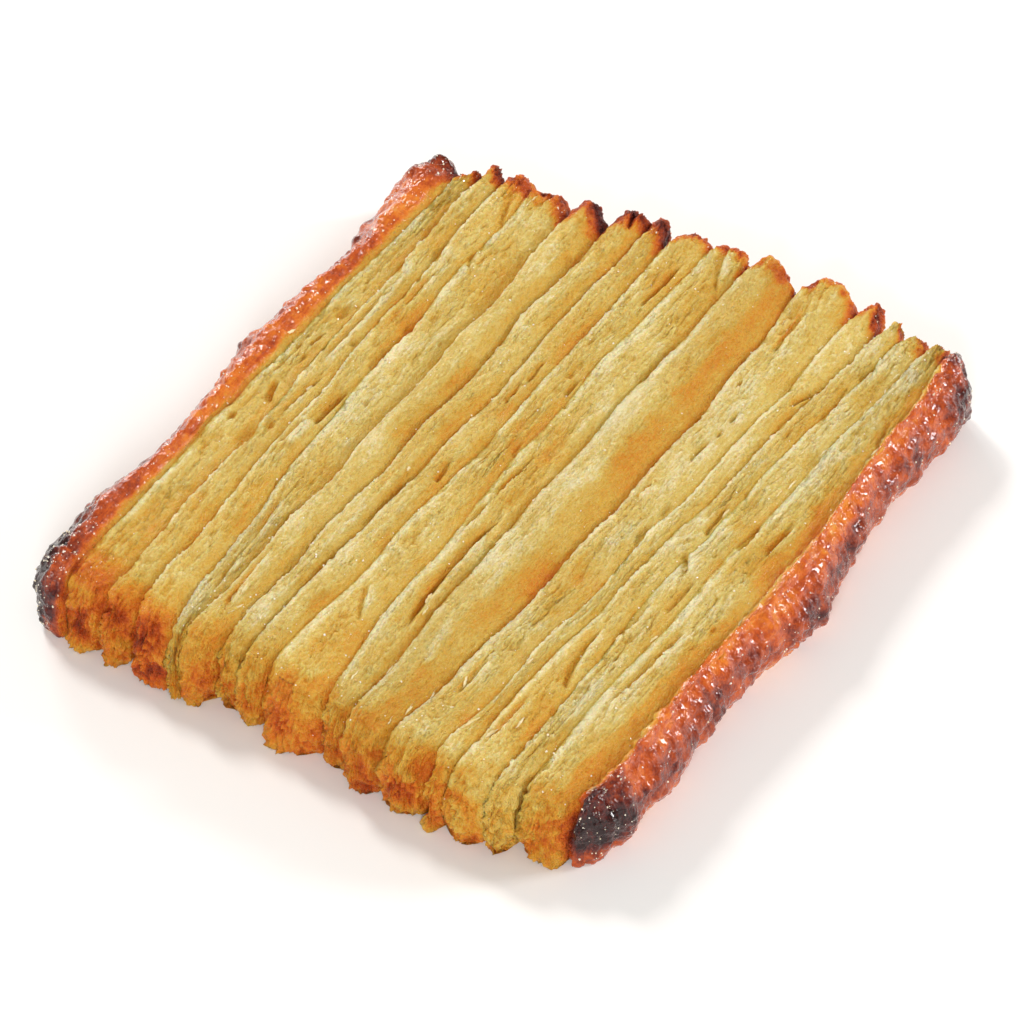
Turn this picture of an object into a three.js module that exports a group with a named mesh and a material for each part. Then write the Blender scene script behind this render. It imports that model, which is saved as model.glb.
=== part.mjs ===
// A puff pastry straw: a strip of laminated dough laid on its cut side and baked, so that its layers stand on
// edge and have opened sideways into a slab of long folds. The two long sides are the dough's sugared outer
// faces, the two short ends are rows of lobes, one for each fold, and the underside is baked flat.
// Millimetres, +Z up. X runs across the folds, Y along them, and the slab rests on z = 0.
import * as THREE from "three";
import { mergeVertices } from "three/addons/utils/BufferGeometryUtils.js";

// Driving dimensions
const HALF_LENGTH = 56; // from the middle to where the lobes end on average
const MEAN_SIDE = [-49.3, 47.6]; // where the two glazed sides lie on average
const CREST_HEIGHT = 12.7; // of the folds' crests over the baking tray, on average
const STATION = 50; // the three stations of a crease lie at y = -STATION, 0 and STATION

/**
 * One fold of the slab.
 * crest:  where its crest lies, as a share of its width from the left, and how far over CREST_HEIGHT.
 * reach:  how far its near and its far lobe pass HALF_LENGTH.
 * crease: where the crease on its right lies, near, half way and far along the layers.
 * depth:  how deep that crease is there, under CREST_HEIGHT.
 * notch:  how far that crease cuts into the near and into the far end.
 */
function fold(crest, reach, crease, depth, notch) {
  return { crest, reach, crease, depth, notch };
}

// From the left glazed side to the right one, which ends the last fold
const FOLDS = [
  fold([0.42, 0.3], [-0.4, -4.2], [-42.1, -41.8, -40.2], [1.2, 0.9, 0.8], [1.0, 2.0]),
  fold([0.5, -0.5], [-0.3, -4.2], [-35.8, -36.3, -37.4], [1.7, 0.6, 1.7], [1.8, 1.2]),
  fold([0.34, 0.1], [-0.2, -2.4], [-30.7, -32.1, -34.0], [1.9, 0.7, 1.6], [2.8, 1.2]),
  fold([0.34, 0.1], [0.5, -2.2], [-24.3, -28.0, -28.4], [1.9, 1.0, 0.7], [1.2, 1.6]),
  fold([0.45, -0.4], [0.3, -2.6], [-21.4, -21.1, -21.5], [0.7, 1.6, 2.0], [1.2, 3.4]),
  fold([0.34, 0.6], [0.2, -1.7], [-16.0, -15.6, -15.4], [1.2, 1.7, 2.0], [1.8, 2.8]),
  fold([0.4, 0.2], [-0.9, 0.3], [-12.8, -10.8, -10.0], [1.4, 1.6, 1.5], [1.6, 1.4]),
  fold([0.42, 0.0], [-0.7, 0.6], [-8.2, -5.9, -5.6], [1.4, 0.8, 1.6], [1.6, 2.6]),
  fold([0.5, -0.1], [0.8, 0.8], [1.2, -0.4, 0.6], [1.6, 0.9, 1.0], [1.8, 1.4]),
  fold([0.55, -0.4], [0.3, 1.2], [6.4, 6.0, 7.4], [1.6, 1.9, 1.7], [1.6, 4.0]),
  fold([0.42, 0.7], [2.2, 0.9], [13.6, 16.8, 16.3], [2.0, 2.5, 2.1], [1.8, 1.8]),
  fold([0.34, -0.2], [2.8, 2.2], [21.2, 24.2, 25.9], [1.1, 1.1, 1.9], [2.8, 2.6]),
  fold([0.42, -0.3], [3.1, 2.0], [23.9, 27.1, 31.1], [1.4, 1.1, 1.9], [1.2, 4.0]),
  fold([0.5, 0.1], [2.9, -0.3], [30.7, 31.2, 34.7], [1.4, 0.8, 0.8], [2.0, 1.4]),
  fold([0.42, -0.3], [2.9, -1.2], [34.1, 36.2, 38.8], [1.6, 0.7, 1.1], [2.6, 1.6]),
  fold([0.4, -0.2], [0.4, -1.2], [43.0, 44.4, 42.6], [2.4, 1.1, 0.7], [1.6, 1.0]),
  fold([0.45, 0.4], [-1.2, -1.6]),
];

// A fold's cross-section
const PILLOW_POWER = 2.6; // how full a fold is between its crest and its creases
const LOBE_POWER = 2.4; // how round a lobe is in plan
const MEANDER = 0.25; // how far a crease wanders to each side
const MEANDER_LENGTHS = [22, 34]; // the shortest and the longest way from a crease's bend to the next like it

// The ends
const TIP_RISE = 0.6; // how far a crest turns up towards the far end
const TIP_LENGTH = 9; // over this length
const END_DROP = [2.2, 0.9]; // how far the top falls off at the very end, near and far
const END_DROP_LENGTH = [5.5, 4]; // over these lengths
const NEAR_INSET = [0.6, 2.4]; // how far the near end's lower and upper edge are rounded back
const FAR_INSET = [0.5, 1.6]; // and the far end's

// The glazed sides
const SIDE_WAVE = 1.0; // how far a side waves in and out
const SIDE_WAVE_LENGTH = 45;
const RIGHT_SWELL = 2.1; // the right side swells out at its middle
const SWELL_LENGTH = 11;
const SIDE_DROP = [2.2, 1.4]; // how far the top falls to the left and to the right edge
const SIDE_INSET = [2.2, 2.6]; // how far a side's lower and upper edge lean back
const CORNER_RADII = [[5, 7], [9, 6]]; // of the left side's near and far corner, and of the right side's

// The underside
const GROOVE_SHARE = 0.3; // a groove under a crease, as a share of the crease's depth
const FLAT_SHARE = 0.6; // the share of each fold that lies flat on the tray

// The lattice: five columns for each fold, rows that crowd towards the ends, and four levels of the walls
const COLUMN_SHARES = [0, 0.16, 0.38, 0.62, 0.84];
const ROWS = 28;
const ROW_CROWDING = 0.3;
const LEVEL_SHARES = [0, 0.13, 0.5, 0.85, 1];
const COLUMNS = FOLDS.length * COLUMN_SHARES.length;

const mix = THREE.MathUtils.lerp;

/** The value at y of the curve through three values at the near, middle and far station. */
function alongStations([near, middle, far], y) {
  const t = y / STATION;
  return middle + ((far - near) / 2) * t + ((far + near) / 2 - middle) * t * t;
}

/** Where a glazed side is widest at y. side is 0 for the left one and 1 for the right one. */
function sideX(side, y) {
  const wave = SIDE_WAVE * Math.cos((2 * Math.PI * (y - 4)) / SIDE_WAVE_LENGTH);
  const swell = RIGHT_SWELL * Math.exp(-((y / SWELL_LENGTH) ** 2));
  return side === 0 ? MEAN_SIDE[0] - wave : MEAN_SIDE[1] + wave / 2 + swell;
}

/** Where fold `index` begins at y, which is where the one before it ends. */
function foldStart(index, y, sideInset) {
  if (index === 0) return sideX(0, y) + sideInset;
  if (index === FOLDS.length) return sideX(1, y) - sideInset;
  const meanderLength = mix(...MEANDER_LENGTHS, (1 + Math.sin(index)) / 2);
  const bend = Math.sin((2 * Math.PI * y) / meanderLength + index * index);
  return alongStations(FOLDS[index - 1].crease, y) + MEANDER * bend;
}

/** How deep crease `index` is at y, under CREST_HEIGHT. */
function creaseDepth(index, y) {
  return Math.max(0.4, alongStations(FOLDS[index - 1].depth, y));
}

/** A value across fold `index`: `onCrest` at its crest, going to the values at its left and right edge. */
function acrossFold(index, share, onCrest, [onLeft, onRight], power) {
  const crestShare = FOLDS[index].crest[0];
  const isLeft = share < crestShare;
  const away = Math.abs(share - crestShare) / (isLeft ? crestShare : 1 - crestShare);
  return mix(onCrest, isLeft ? onLeft : onRight, away ** power);
}

/** The values on the edges of fold `index`: `onCrease` gives them on a crease and `onSides` on the sides. */
function edgeValues(index, onCrease, onSides) {
  const left = index === 0 ? onSides[0] : onCrease(index);
  const right = index === FOLDS.length - 1 ? onSides[1] : onCrease(index + 1);
  return [left, right];
}

/** How far from the middle fold `index` ends, at a share of its width. end is 0 near and 1 far. */
function endReach(index, share, end) {
  const reach = FOLDS[index].reach[end];
  const notchBottom = (crease) => {
    const shorter = Math.min(FOLDS[crease - 1].reach[end], FOLDS[crease].reach[end]);
    return shorter - FOLDS[crease - 1].notch[end];
  };
  const edges = edgeValues(index, notchBottom, [reach, reach]);
  return HALF_LENGTH + acrossFold(index, share, reach, edges, LOBE_POWER);
}

/** The height of the top of fold `index` at a share of its width. */
function topHeight(index, share, y) {
  const crest = CREST_HEIGHT + FOLDS[index].crest[1];
  const creaseFloor = (crease) => CREST_HEIGHT - creaseDepth(crease, y);
  const edges = edgeValues(index, creaseFloor, [crest - SIDE_DROP[0], crest - SIDE_DROP[1]]);
  const end = y < 0 ? 0 : 1;
  const insideEnd = Math.max(0, endReach(index, share, end) - Math.abs(y));
  const tip = y > 0 ? TIP_RISE * Math.max(0, 1 - insideEnd / TIP_LENGTH) ** 2 : 0;
  const drop = END_DROP[end] * Math.max(0, 1 - insideEnd / END_DROP_LENGTH[end]) ** 2;
  return acrossFold(index, share, crest + tip, edges, PILLOW_POWER) - drop;
}

/** The height of the underside of fold `index`, flat at 0 between the shallow grooves under the creases. */
function undersideHeight(index, share, y) {
  const grooves = edgeValues(index, (crease) => GROOVE_SHARE * creaseDepth(crease, y), [0, 0]);
  const away = acrossFold(index, share, 0, [1, 1], 1);
  const rise = Math.max(0, (away - FLAT_SHARE) / (1 - FLAT_SHARE)) ** 2;
  return rise * (share < FOLDS[index].crest[0] ? grooves[0] : grooves[1]);
}

/** How far a wall's edges lie back at a share of its height, by how sharply they turn. */
function wallInset(level, [lower, upper], sharpness) {
  const away = Math.abs(2 * level - 1);
  return (level < 0.5 ? lower : upper) * away ** sharpness;
}

/** Rounds the slab's four corners in plan: a point near a square corner moves onto quarter circles. */
function roundCorner(point, endDistance) {
  const side = point.x < 0 ? 0 : 1;
  const end = point.y < 0 ? 0 : 1;
  const radius = CORNER_RADII[side][end];
  const centreX = Math.abs(sideX(side, point.y)) - radius;
  const centreY = endDistance - radius;
  const u = (Math.abs(point.x) - centreX) / radius;
  const v = (Math.abs(point.y) - centreY) / radius;
  if (u <= 0 || v <= 0) return;
  point.x = Math.sign(point.x) * (centreX + radius * u * Math.sqrt(1 - (v * v) / 2));
  point.y = Math.sign(point.y) * (centreY + radius * v * Math.sqrt(1 - (u * u) / 2));
}

/** The point of the pastry's surface for one point of the lattice, from the base (level 0) to the top (1). */
function surfacePoint(column, row, level) {
  const index = Math.min(Math.floor(column / COLUMN_SHARES.length), FOLDS.length - 1);
  const share = column === COLUMNS ? 1 : COLUMN_SHARES[column - index * COLUMN_SHARES.length];
  const along = (2 * row) / ROWS - 1;
  const endDistance = endReach(index, share, along < 0 ? 0 : 1);
  const endInset = along < 0 ? wallInset(level, NEAR_INSET, 3) : wallInset(level, FAR_INSET, 4);
  const endShift = endDistance - endInset - HALF_LENGTH;
  const crowded = along * (1 + ROW_CROWDING) - ROW_CROWDING * along ** 3;
  const y = HALF_LENGTH * crowded + endShift * Math.sign(along) * along ** 8;
  const sideInset = wallInset(level, SIDE_INSET, 2);
  const x = mix(foldStart(index, y, sideInset), foldStart(index + 1, y, sideInset), share);
  const z = mix(undersideHeight(index, share, y), topHeight(index, share, y), level);
  const point = new THREE.Vector3(x, y, z);
  roundCorner(point, endDistance);
  return point;
}

/** The slab: a box of many segments whose points are moved onto the pastry's surface. */
function slabGeometry() {
  const levels = LEVEL_SHARES.length - 1;
  const box = new THREE.BoxGeometry(COLUMNS, ROWS, levels, COLUMNS, ROWS, levels);
  box.deleteAttribute("normal");
  box.deleteAttribute("uv");
  const geometry = mergeVertices(box.translate(COLUMNS / 2, ROWS / 2, levels / 2));
  const points = geometry.getAttribute("position");
  for (let i = 0; i < points.count; i++) {
    const [column, row, level] = [points.getX(i), points.getY(i), points.getZ(i)].map(Math.round);
    const point = surfacePoint(column, row, LEVEL_SHARES[level]);
    points.setXYZ(i, point.x, point.y, point.z);
  }
  geometry.computeVertexNormals();
  return geometry;
}

/** Moves a geometry so that the middle of its base lies at the origin. */
function centreOnBase(geometry) {
  geometry.computeBoundingBox();
  const middle = geometry.boundingBox.getCenter(new THREE.Vector3());
  return geometry.translate(-middle.x, -middle.y, -geometry.boundingBox.min.z);
}

const bakedCrust = new THREE.MeshStandardMaterial({ color: 0xe2b866, roughness: 0.62, metalness: 0 });

const pastry = new THREE.Group();
const slab = new THREE.Mesh(centreOnBase(slabGeometry()), bakedCrust);
slab.name = "pastry_slab";
pastry.add(slab);

export default pastry;
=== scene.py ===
"""The looks of a puff pastry straw: a strip of laminated dough baked on its cut side.

The slab is built fold by fold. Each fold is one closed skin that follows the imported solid's form and carries
the dough's own relief: the layers that stand on edge, the lips that lean over the creases, the pits of the
open crumb and the blisters of the sugar glaze. Torn flakes and grains of sugar lie on it as pieces of their
own. Lengths are in millimetres until a mesh is made. X runs across the folds, Y along them and Z up.
"""

import logging
import math
from dataclasses import dataclass, field
from enum import Enum

import bpy
import numpy as np
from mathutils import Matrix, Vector


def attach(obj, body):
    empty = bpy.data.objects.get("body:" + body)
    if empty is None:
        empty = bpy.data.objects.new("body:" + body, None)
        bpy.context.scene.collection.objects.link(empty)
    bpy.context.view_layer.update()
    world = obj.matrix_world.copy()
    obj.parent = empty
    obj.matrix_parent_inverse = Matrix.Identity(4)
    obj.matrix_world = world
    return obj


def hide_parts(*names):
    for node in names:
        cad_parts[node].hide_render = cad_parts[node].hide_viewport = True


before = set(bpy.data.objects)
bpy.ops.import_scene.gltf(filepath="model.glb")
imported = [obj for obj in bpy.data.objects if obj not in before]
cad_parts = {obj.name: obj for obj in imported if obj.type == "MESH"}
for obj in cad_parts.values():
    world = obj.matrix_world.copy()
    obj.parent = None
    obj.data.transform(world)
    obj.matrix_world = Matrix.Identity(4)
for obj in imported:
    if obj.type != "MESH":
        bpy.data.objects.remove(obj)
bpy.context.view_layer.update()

Array = np.ndarray
Pair = tuple[float, float]
Span = tuple[float, float]
Triple = tuple[float, float, float]
Colour = tuple[float, float, float]
Stops = tuple[tuple[float, Colour], ...]
Socket = bpy.types.NodeSocket
Material = bpy.types.Material
Piece = bpy.types.Object

MM = 0.001
BODY = "root"
NODE = "pastry_slab"
LOG = logging.getLogger("puff_pastry_straw")


class End(Enum):
    """The two short ends of the slab, seen from where the camera stands."""

    NEAR = 0
    FAR = 1


class Side(Enum):
    """The two glazed long sides."""

    LEFT = 0
    RIGHT = 1


@dataclass(frozen=True)
class Fold:
    """One fold of the slab, from the crease on its left to the crease on its right.

    crest: where its crest lies, as a share of its width, and how far over the mean crest height.
    reach: how far its near and its far lobe pass the half length.
    crease, depth: where its right crease lies and how deep it is, near, half way and far along the layers.
    notch: how far that crease cuts into the near and into the far end.
    """

    crest: Pair
    reach: Pair
    crease: Triple
    depth: Triple
    notch: Pair
    points: Pair = (2.4, 2.4)


NO_CREASE = (0.0, 0.0, 0.0)

# From the left glazed side to the right one, which ends the last fold
FOLDS = (
    Fold((0.42, 0.3), (-0.4, -4.2), (-42.1, -41.8, -40.2), (1.2, 0.9, 0.8), (1.0, 2.0)),
    Fold((0.5, -0.5), (-0.3, -4.2), (-35.8, -36.3, -37.4), (1.7, 0.6, 1.7), (1.8, 1.2)),
    Fold((0.34, 0.1), (-0.2, -2.4), (-30.7, -32.1, -34.0), (1.9, 0.7, 1.6), (2.8, 1.2)),
    Fold((0.34, 0.1), (0.5, -2.2), (-24.3, -28.0, -28.4), (1.9, 1.0, 0.7), (1.2, 1.6)),
    Fold((0.45, -0.4), (0.3, -2.6), (-21.4, -21.1, -21.5), (0.7, 1.6, 2.0), (1.2, 3.4)),
    Fold((0.34, 0.6), (0.2, -1.7), (-16.0, -15.6, -15.4), (1.2, 1.7, 2.0), (1.8, 2.8), (2.4, 1.7)),
    Fold((0.4, 0.2), (-0.9, 0.3), (-12.8, -10.8, -10.0), (1.4, 1.6, 1.5), (1.6, 1.4)),
    Fold((0.42, 0.0), (-0.7, 0.6), (-8.2, -5.9, -5.6), (1.4, 0.8, 1.6), (1.6, 2.6)),
    Fold((0.5, -0.1), (0.8, 0.8), (1.2, -0.4, 0.6), (1.6, 0.9, 1.0), (1.8, 1.4)),
    Fold((0.55, -0.4), (0.3, 1.2), (6.4, 6.0, 7.4), (1.6, 1.9, 1.7), (1.6, 4.0)),
    Fold((0.42, 0.7), (2.2, 0.9), (13.6, 16.8, 16.3), (2.0, 2.5, 2.1), (1.8, 1.8)),
    Fold((0.34, -0.2), (2.8, 2.2), (21.2, 24.2, 25.9), (1.1, 1.1, 1.9), (2.8, 2.6)),
    Fold((0.42, -0.3), (3.1, 2.0), (23.9, 27.1, 31.1), (1.4, 1.1, 1.9), (1.2, 4.0), (2.4, 1.2)),
    Fold((0.5, 0.1), (2.9, -0.3), (30.7, 31.2, 34.7), (1.4, 0.8, 0.8), (2.0, 1.4)),
    Fold((0.42, -0.3), (2.9, -1.2), (34.1, 36.2, 38.8), (1.6, 0.7, 1.1), (2.6, 1.6)),
    Fold((0.4, -0.2), (0.4, -1.2), (43.0, 44.4, 42.6), (2.4, 1.1, 0.7), (1.6, 1.0)),
    Fold((0.45, 0.4), (-1.2, -1.6), NO_CREASE, NO_CREASE, (0.0, 0.0)),
)
LAST = len(FOLDS) - 1


@dataclass(frozen=True)
class Bake:
    """How one fold has baked.

    tips: how brown its near and its far lobe are, from 0, pale, to 1, black.
    runs: how far the browning runs in from its near and its far lobe.
    flank: how orange its right flank is drawn, near and far, from 0 to 1: partly its browning and partly
    painted shade on the slope that faces away from the key light.
    open_crumb: how torn open its top is, from 0, a smooth skin, to 1, all fibres and pits.
    """

    tips: Pair
    runs: Pair
    flank: Pair
    open_crumb: float


# In the order of the folds
BAKES = (
    Bake((0.62, 0.95), (16.0, 9.0), (0.4, 0.5), 0.4),
    Bake((0.6, 0.84), (14.0, 6.0), (0.4, 0.65), 0.9),
    Bake((0.6, 0.9), (9.0, 5.5), (0.4, 0.5), 0.9),
    Bake((0.7, 0.8), (8.0, 4.5), (0.5, 0.4), 0.9),
    Bake((0.52, 0.8), (5.0, 6.0), (0.3, 0.3), 0.7),
    Bake((0.6, 1.0), (6.0, 7.5), (0.5, 0.5), 0.2),
    Bake((0.5, 0.92), (5.5, 6.5), (0.5, 0.45), 0.4),
    Bake((0.5, 0.9), (5.5, 5.5), (0.45, 0.4), 0.4),
    Bake((0.54, 0.78), (5.0, 6.0), (0.45, 0.35), 0.6),
    Bake((0.58, 0.8), (5.5, 4.5), (0.35, 0.25), 0.6),
    Bake((0.62, 0.72), (6.0, 4.5), (0.9, 0.8), 0.35),
    Bake((0.56, 0.74), (5.0, 5.0), (0.3, 0.3), 0.7),
    Bake((0.5, 0.82), (5.0, 4.5), (0.35, 0.4), 0.65),
    Bake((0.46, 0.7), (4.5, 4.0), (0.35, 0.3), 0.8),
    Bake((0.44, 0.72), (4.5, 3.5), (0.35, 0.3), 0.85),
    Bake((0.5, 0.68), (5.0, 3.0), (0.9, 0.25), 0.75),
    Bake((0.92, 0.88), (8.0, 5.0), (0.0, 0.0), 0.2),
)


@dataclass(frozen=True)
class Tear:
    """A short crease in a fold's top: the dough slopes down to it from the left and ends in a lip beyond it.

    start, stop: its two ends, across and along the slab, the farther one first.
    depth: how deep it is.
    width: how wide the slope down to it is.
    bend: how far its middle bows to the right.
    """

    start: Pair
    stop: Pair
    depth: float
    width: float
    bend: float = 0.0


TEARS = (
    Tear((-38.2, 8.4), (-38.4, 4.8), 0.9, 0.9),
    Tear((-38.6, -3.4), (-37.0, -8.6), 1.2, 1.6),
    Tear((-35.0, 20.5), (-35.0, 1.5), 0.7, 2.0, 0.2),
    Tear((-33.0, 1.6), (-33.9, -10.4), 0.55, 1.4, -0.2),
    Tear((-28.1, 21.0), (-28.3, 4.0), 1.0, 2.2, 0.3),
    Tear((-28.6, 0.4), (-28.8, -9.8), 1.2, 3.0, 0.3),
    Tear((-30.4, -9.0), (-30.6, -15.5), 0.8, 1.6),
    Tear((-24.6, -24.0), (-23.2, -33.0), 0.5, 1.1),
    Tear((-21.3, -24.5), (-21.1, -32.0), 0.9, 1.2, 0.2),
    Tear((-23.3, -37.0), (-22.5, -45.0), 0.5, 1.3),
    Tear((-19.4, -34.0), (-18.4, -48.5), 0.7, 1.2, -0.5),
    Tear((-33.2, 35.0), (-32.4, 29.4), 0.8, 1.4),
    Tear((-31.0, 27.5), (-31.2, 18.5), 0.5, 1.8),
    Tear((-36.4, 28.0), (-35.6, 24.6), 0.7, 1.2),
    Tear((-30.2, 49.0), (-27.9, 41.0), 0.6, 1.5, -0.3),
    Tear((-28.6, 36.0), (-27.0, 31.0), 0.6, 1.0, -0.8),
    Tear((-24.8, 56.0), (-26.0, 48.0), 0.7, 1.6),
    Tear((-11.9, 58.0), (-11.5, 51.0), 1.2, 1.0, -0.4),
    Tear((-11.4, -9.5), (-11.2, -23.0), 1.0, 1.6, 0.1),
    Tear((-11.9, -24.0), (-12.3, -36.0), 0.5, 1.0),
    Tear((-7.2, 20.5), (-6.9, 14.6), 0.6, 1.0),
    Tear((-7.6, 14.4), (-7.4, 9.2), 0.6, 1.1),
    Tear((-7.9, -4.6), (-7.3, -10.0), 0.8, 1.4, 0.2),
    Tear((-1.0, 50.0), (-1.6, 37.0), 0.9, 1.6, 0.4),
    Tear((-0.8, 20.0), (-0.9, 15.0), 0.7, 1.4),
    Tear((-1.4, 4.4), (-0.6, 0.6), 0.5, 2.6),
    Tear((1.4, -0.8), (1.2, -7.6), 0.8, 1.0),
    Tear((1.2, -9.0), (1.0, -15.4), 0.8, 1.2),
    Tear((-4.6, -32.0), (-1.6, -39.0), 0.6, 1.4),
    Tear((4.6, -9.4), (5.0, -38.0), 1.5, 2.4, -1.0),
    Tear((6.9, 34.0), (6.6, 24.0), 0.5, 1.3),
    Tear((3.4, 58.0), (7.0, 46.0), 0.6, 1.6, -1.0),
    Tear((20.1, 50.5), (20.3, 38.0), 0.45, 1.2),
    Tear((17.8, 47.8), (18.1, 45.8), 0.6, 0.8),
    Tear((21.9, 18.6), (21.6, 12.8), 0.7, 0.9),
    Tear((19.1, 6.6), (18.9, 2.6), 0.7, 0.9),
    Tear((22.6, 26.4), (22.3, 23.2), 0.7, 1.0),
    Tear((30.4, 37.0), (28.2, 31.0), 0.9, 1.6, -0.3),
    Tear((34.5, 45.4), (34.1, 40.6), 0.7, 1.2),
    Tear((33.2, 40.5), (33.6, 29.0), 0.5, 1.6, 0.3),
    Tear((31.0, 8.6), (31.3, 0.8), 0.9, 1.3),
    Tear((30.5, -2.6), (32.6, -7.2), 1.0, 1.2, 0.3),
    Tear((34.4, -6.6), (34.3, -15.6), 0.7, 1.6, 0.3),
    Tear((31.1, -13.6), (31.0, -22.8), 0.8, 1.5, 0.3),
    Tear((36.5, 7.8), (36.3, 0.8), 1.0, 1.8, 0.7),
    Tear((41.1, 9.6), (40.4, 2.6), 1.1, 1.6),
    Tear((28.4, -21.5), (30.2, -36.0), 1.1, 2.2, -0.6),
    Tear((38.6, -15.5), (36.4, -34.0), 0.9, 2.2, 0.2),
    Tear((26.2, -38.0), (25.8, -50.0), 0.5, 1.5, 0.3),
    Tear((17.6, -35.0), (17.4, -44.0), 0.6, 1.4, 0.3),
    Tear((42.2, 36.0), (43.7, 29.0), 0.5, 1.0),
)


@dataclass(frozen=True)
class Hollow:
    """A smooth oval dent: its middle, how far it reaches across and along, and its depth."""

    middle: Pair
    reach: Pair
    depth: float


HOLLOWS = (
    Hollow((-38.3, 13.5), (1.2, 1.9), 0.9),
    Hollow((-33.3, 8.5), (0.8, 1.0), 0.6),
    Hollow((-36.3, -16.0), (1.7, 2.8), 0.8),
    Hollow((-33.9, -12.5), (0.7, 1.0), 0.6),
    Hollow((-40.2, -13.5), (0.8, 1.2), 0.7),
    Hollow((-38.1, 2.4), (0.6, 1.2), 0.6),
    Hollow((-27.0, -32.0), (1.6, 4.5), 0.5),
    Hollow((-5.2, 0.5), (1.4, 3.6), 0.7),
    Hollow((-3.4, 6.5), (1.6, 2.4), 0.5),
    Hollow((-8.6, -38.5), (1.2, 3.0), 0.5),
    Hollow((3.6, 5.0), (1.4, 5.0), 0.6),
    Hollow((3.6, -6.0), (1.3, 3.4), 0.6),
    Hollow((20.2, -12.5), (2.4, 5.4), 0.7),
    Hollow((23.5, 3.0), (0.8, 1.8), 0.7),
    Hollow((23.2, -2.6), (0.8, 2.6), 0.7),
    Hollow((17.6, 22.4), (0.5, 0.9), 0.7),
    Hollow((22.2, 20.6), (0.5, 1.0), 0.7),
    Hollow((19.5, 31.0), (0.4, 1.0), 0.7),
    Hollow((36.4, 38.0), (1.9, 3.6), 0.7),
    Hollow((36.6, 43.0), (1.0, 2.4), 0.5),
    Hollow((36.4, 22.5), (1.2, 2.6), 0.6),
)


def mix(low: Array | float, high: Array | float, share: Array | float) -> Array:
    """The value a share of the way from low to high."""
    return low + (high - low) * share


def smooth_step(low: float, high: float, value: Array) -> Array:
    """0 up to low, 1 from high on, and a smooth rise between. Falls instead where low is over high."""
    share = np.clip((value - low) / (high - low), 0.0, 1.0)
    return share * share * (3.0 - 2.0 * share)


# How a corner of the noise's lattice becomes a random number, in whole numbers of 32 bits
WORD_MASK = 0xFFFFFFFF
SEED_STEP = 7919
LAYER_STEP = 104729
CORNER_FACTORS = (np.uint32(374761393), np.uint32(668265263), np.uint32(2246822519))
STIRS = ((15, 2246822519), (13, 3266489917))
LAST_SHIFT = 16
HALF_RANGE = 2147483647.5


@dataclass(frozen=True)
class DoughNoise:
    """Smooth random values from -1 to 1, the same on every run."""

    seed: int = 11

    def _corner(self, ix: Array, iy: Array, iz: Array, layer: int) -> Array:
        """The random value of one corner of the lattice.

        Args:
            ix: the corner's whole-number place along the first axis.
            iy: the same along the second axis.
            iz: the same along the third axis.
            layer: which of the many independent fields is wanted.

        Returns:
            One value from -1 to 1 for each corner.
        """
        salt = np.uint32((self.seed * SEED_STEP + layer * LAYER_STEP) & WORD_MASK)
        factor_x, factor_y, factor_z = CORNER_FACTORS
        mixed = ix * factor_x + iy * factor_y + iz * factor_z + salt
        for shift, factor in STIRS:
            mixed ^= mixed >> np.uint32(shift)
            mixed *= np.uint32(factor)
        mixed ^= mixed >> np.uint32(LAST_SHIFT)
        return mixed.astype(np.float64) / HALF_RANGE - 1.0

    @staticmethod
    def _split(value: Array) -> tuple[Array, Array]:
        """The whole-number cell that each value lies in, and the eased share of the way through it."""
        cell = np.floor(value)
        share = value - cell
        eased = share**3 * (share * (share * 6.0 - 15.0) + 10.0)
        return cell.astype(np.int64).astype(np.uint32), eased

    def flat(self, a: Array, b: Array, layer: int) -> Array:
        """A field over a plane, with features about one unit across.

        Args:
            a: the place along the first axis.
            b: the place along the second axis.
            layer: which of the many independent fields is wanted.

        Returns:
            One value from -1 to 1 for each place.
        """
        a, b = np.broadcast_arrays(np.asarray(a, float), np.asarray(b, float))
        ia, ta = self._split(a)
        ib, tb = self._split(b)
        low, high = (self._row(ia, row, np.zeros_like(ia), ta, layer) for row in (ib, ib + np.uint32(1)))
        return mix(low, high, tb)

    def solid(self, points: Array, size: float, layer: int) -> Array:
        """A field through space.

        Args:
            points: places as rows of x, y and z.
            size: how large the field's features are.
            layer: which of the many independent fields is wanted.

        Returns:
            One value from -1 to 1 for each place.
        """
        (ix, tx), (iy, ty), (iz, tz) = (self._split(points[..., axis] / size) for axis in range(3))
        one = np.uint32(1)
        sheets = []
        for sheet in (iz, iz + one):
            low, high = (self._row(ix, row, sheet, tx, layer) for row in (iy, iy + one))
            sheets.append(mix(low, high, ty))
        return mix(sheets[0], sheets[1], tz)

    def _row(self, ix: Array, iy: Array, iz: Array, share: Array, layer: int) -> Array:
        """The value a share of the way from each corner to the next one along the first axis.

        Args:
            ix: the corner's whole-number place along the first axis.
            iy: the same along the second axis.
            iz: the same along the third axis.
            share: how far the place lies from that corner to the next.
            layer: which of the many independent fields is wanted.

        Returns:
            One value from -1 to 1 for each place.
        """
        return mix(self._corner(ix, iy, iz, layer), self._corner(ix + np.uint32(1), iy, iz, layer), share)


@dataclass(frozen=True)
class Speckle:
    """A random field over the dough as it was laid.

    width, length: how large its features are, across and along the layers.
    swing: how far its values go either way.
    layer: its own number among the noise's fields.
    """

    width: float
    length: float
    swing: float
    layer: int

    def at(self, noise: DoughNoise, across: Array, along: Array) -> Array:
        """The field's value at each place."""
        return self.swing * noise.flat(across / self.width, along / self.length, self.layer)


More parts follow.
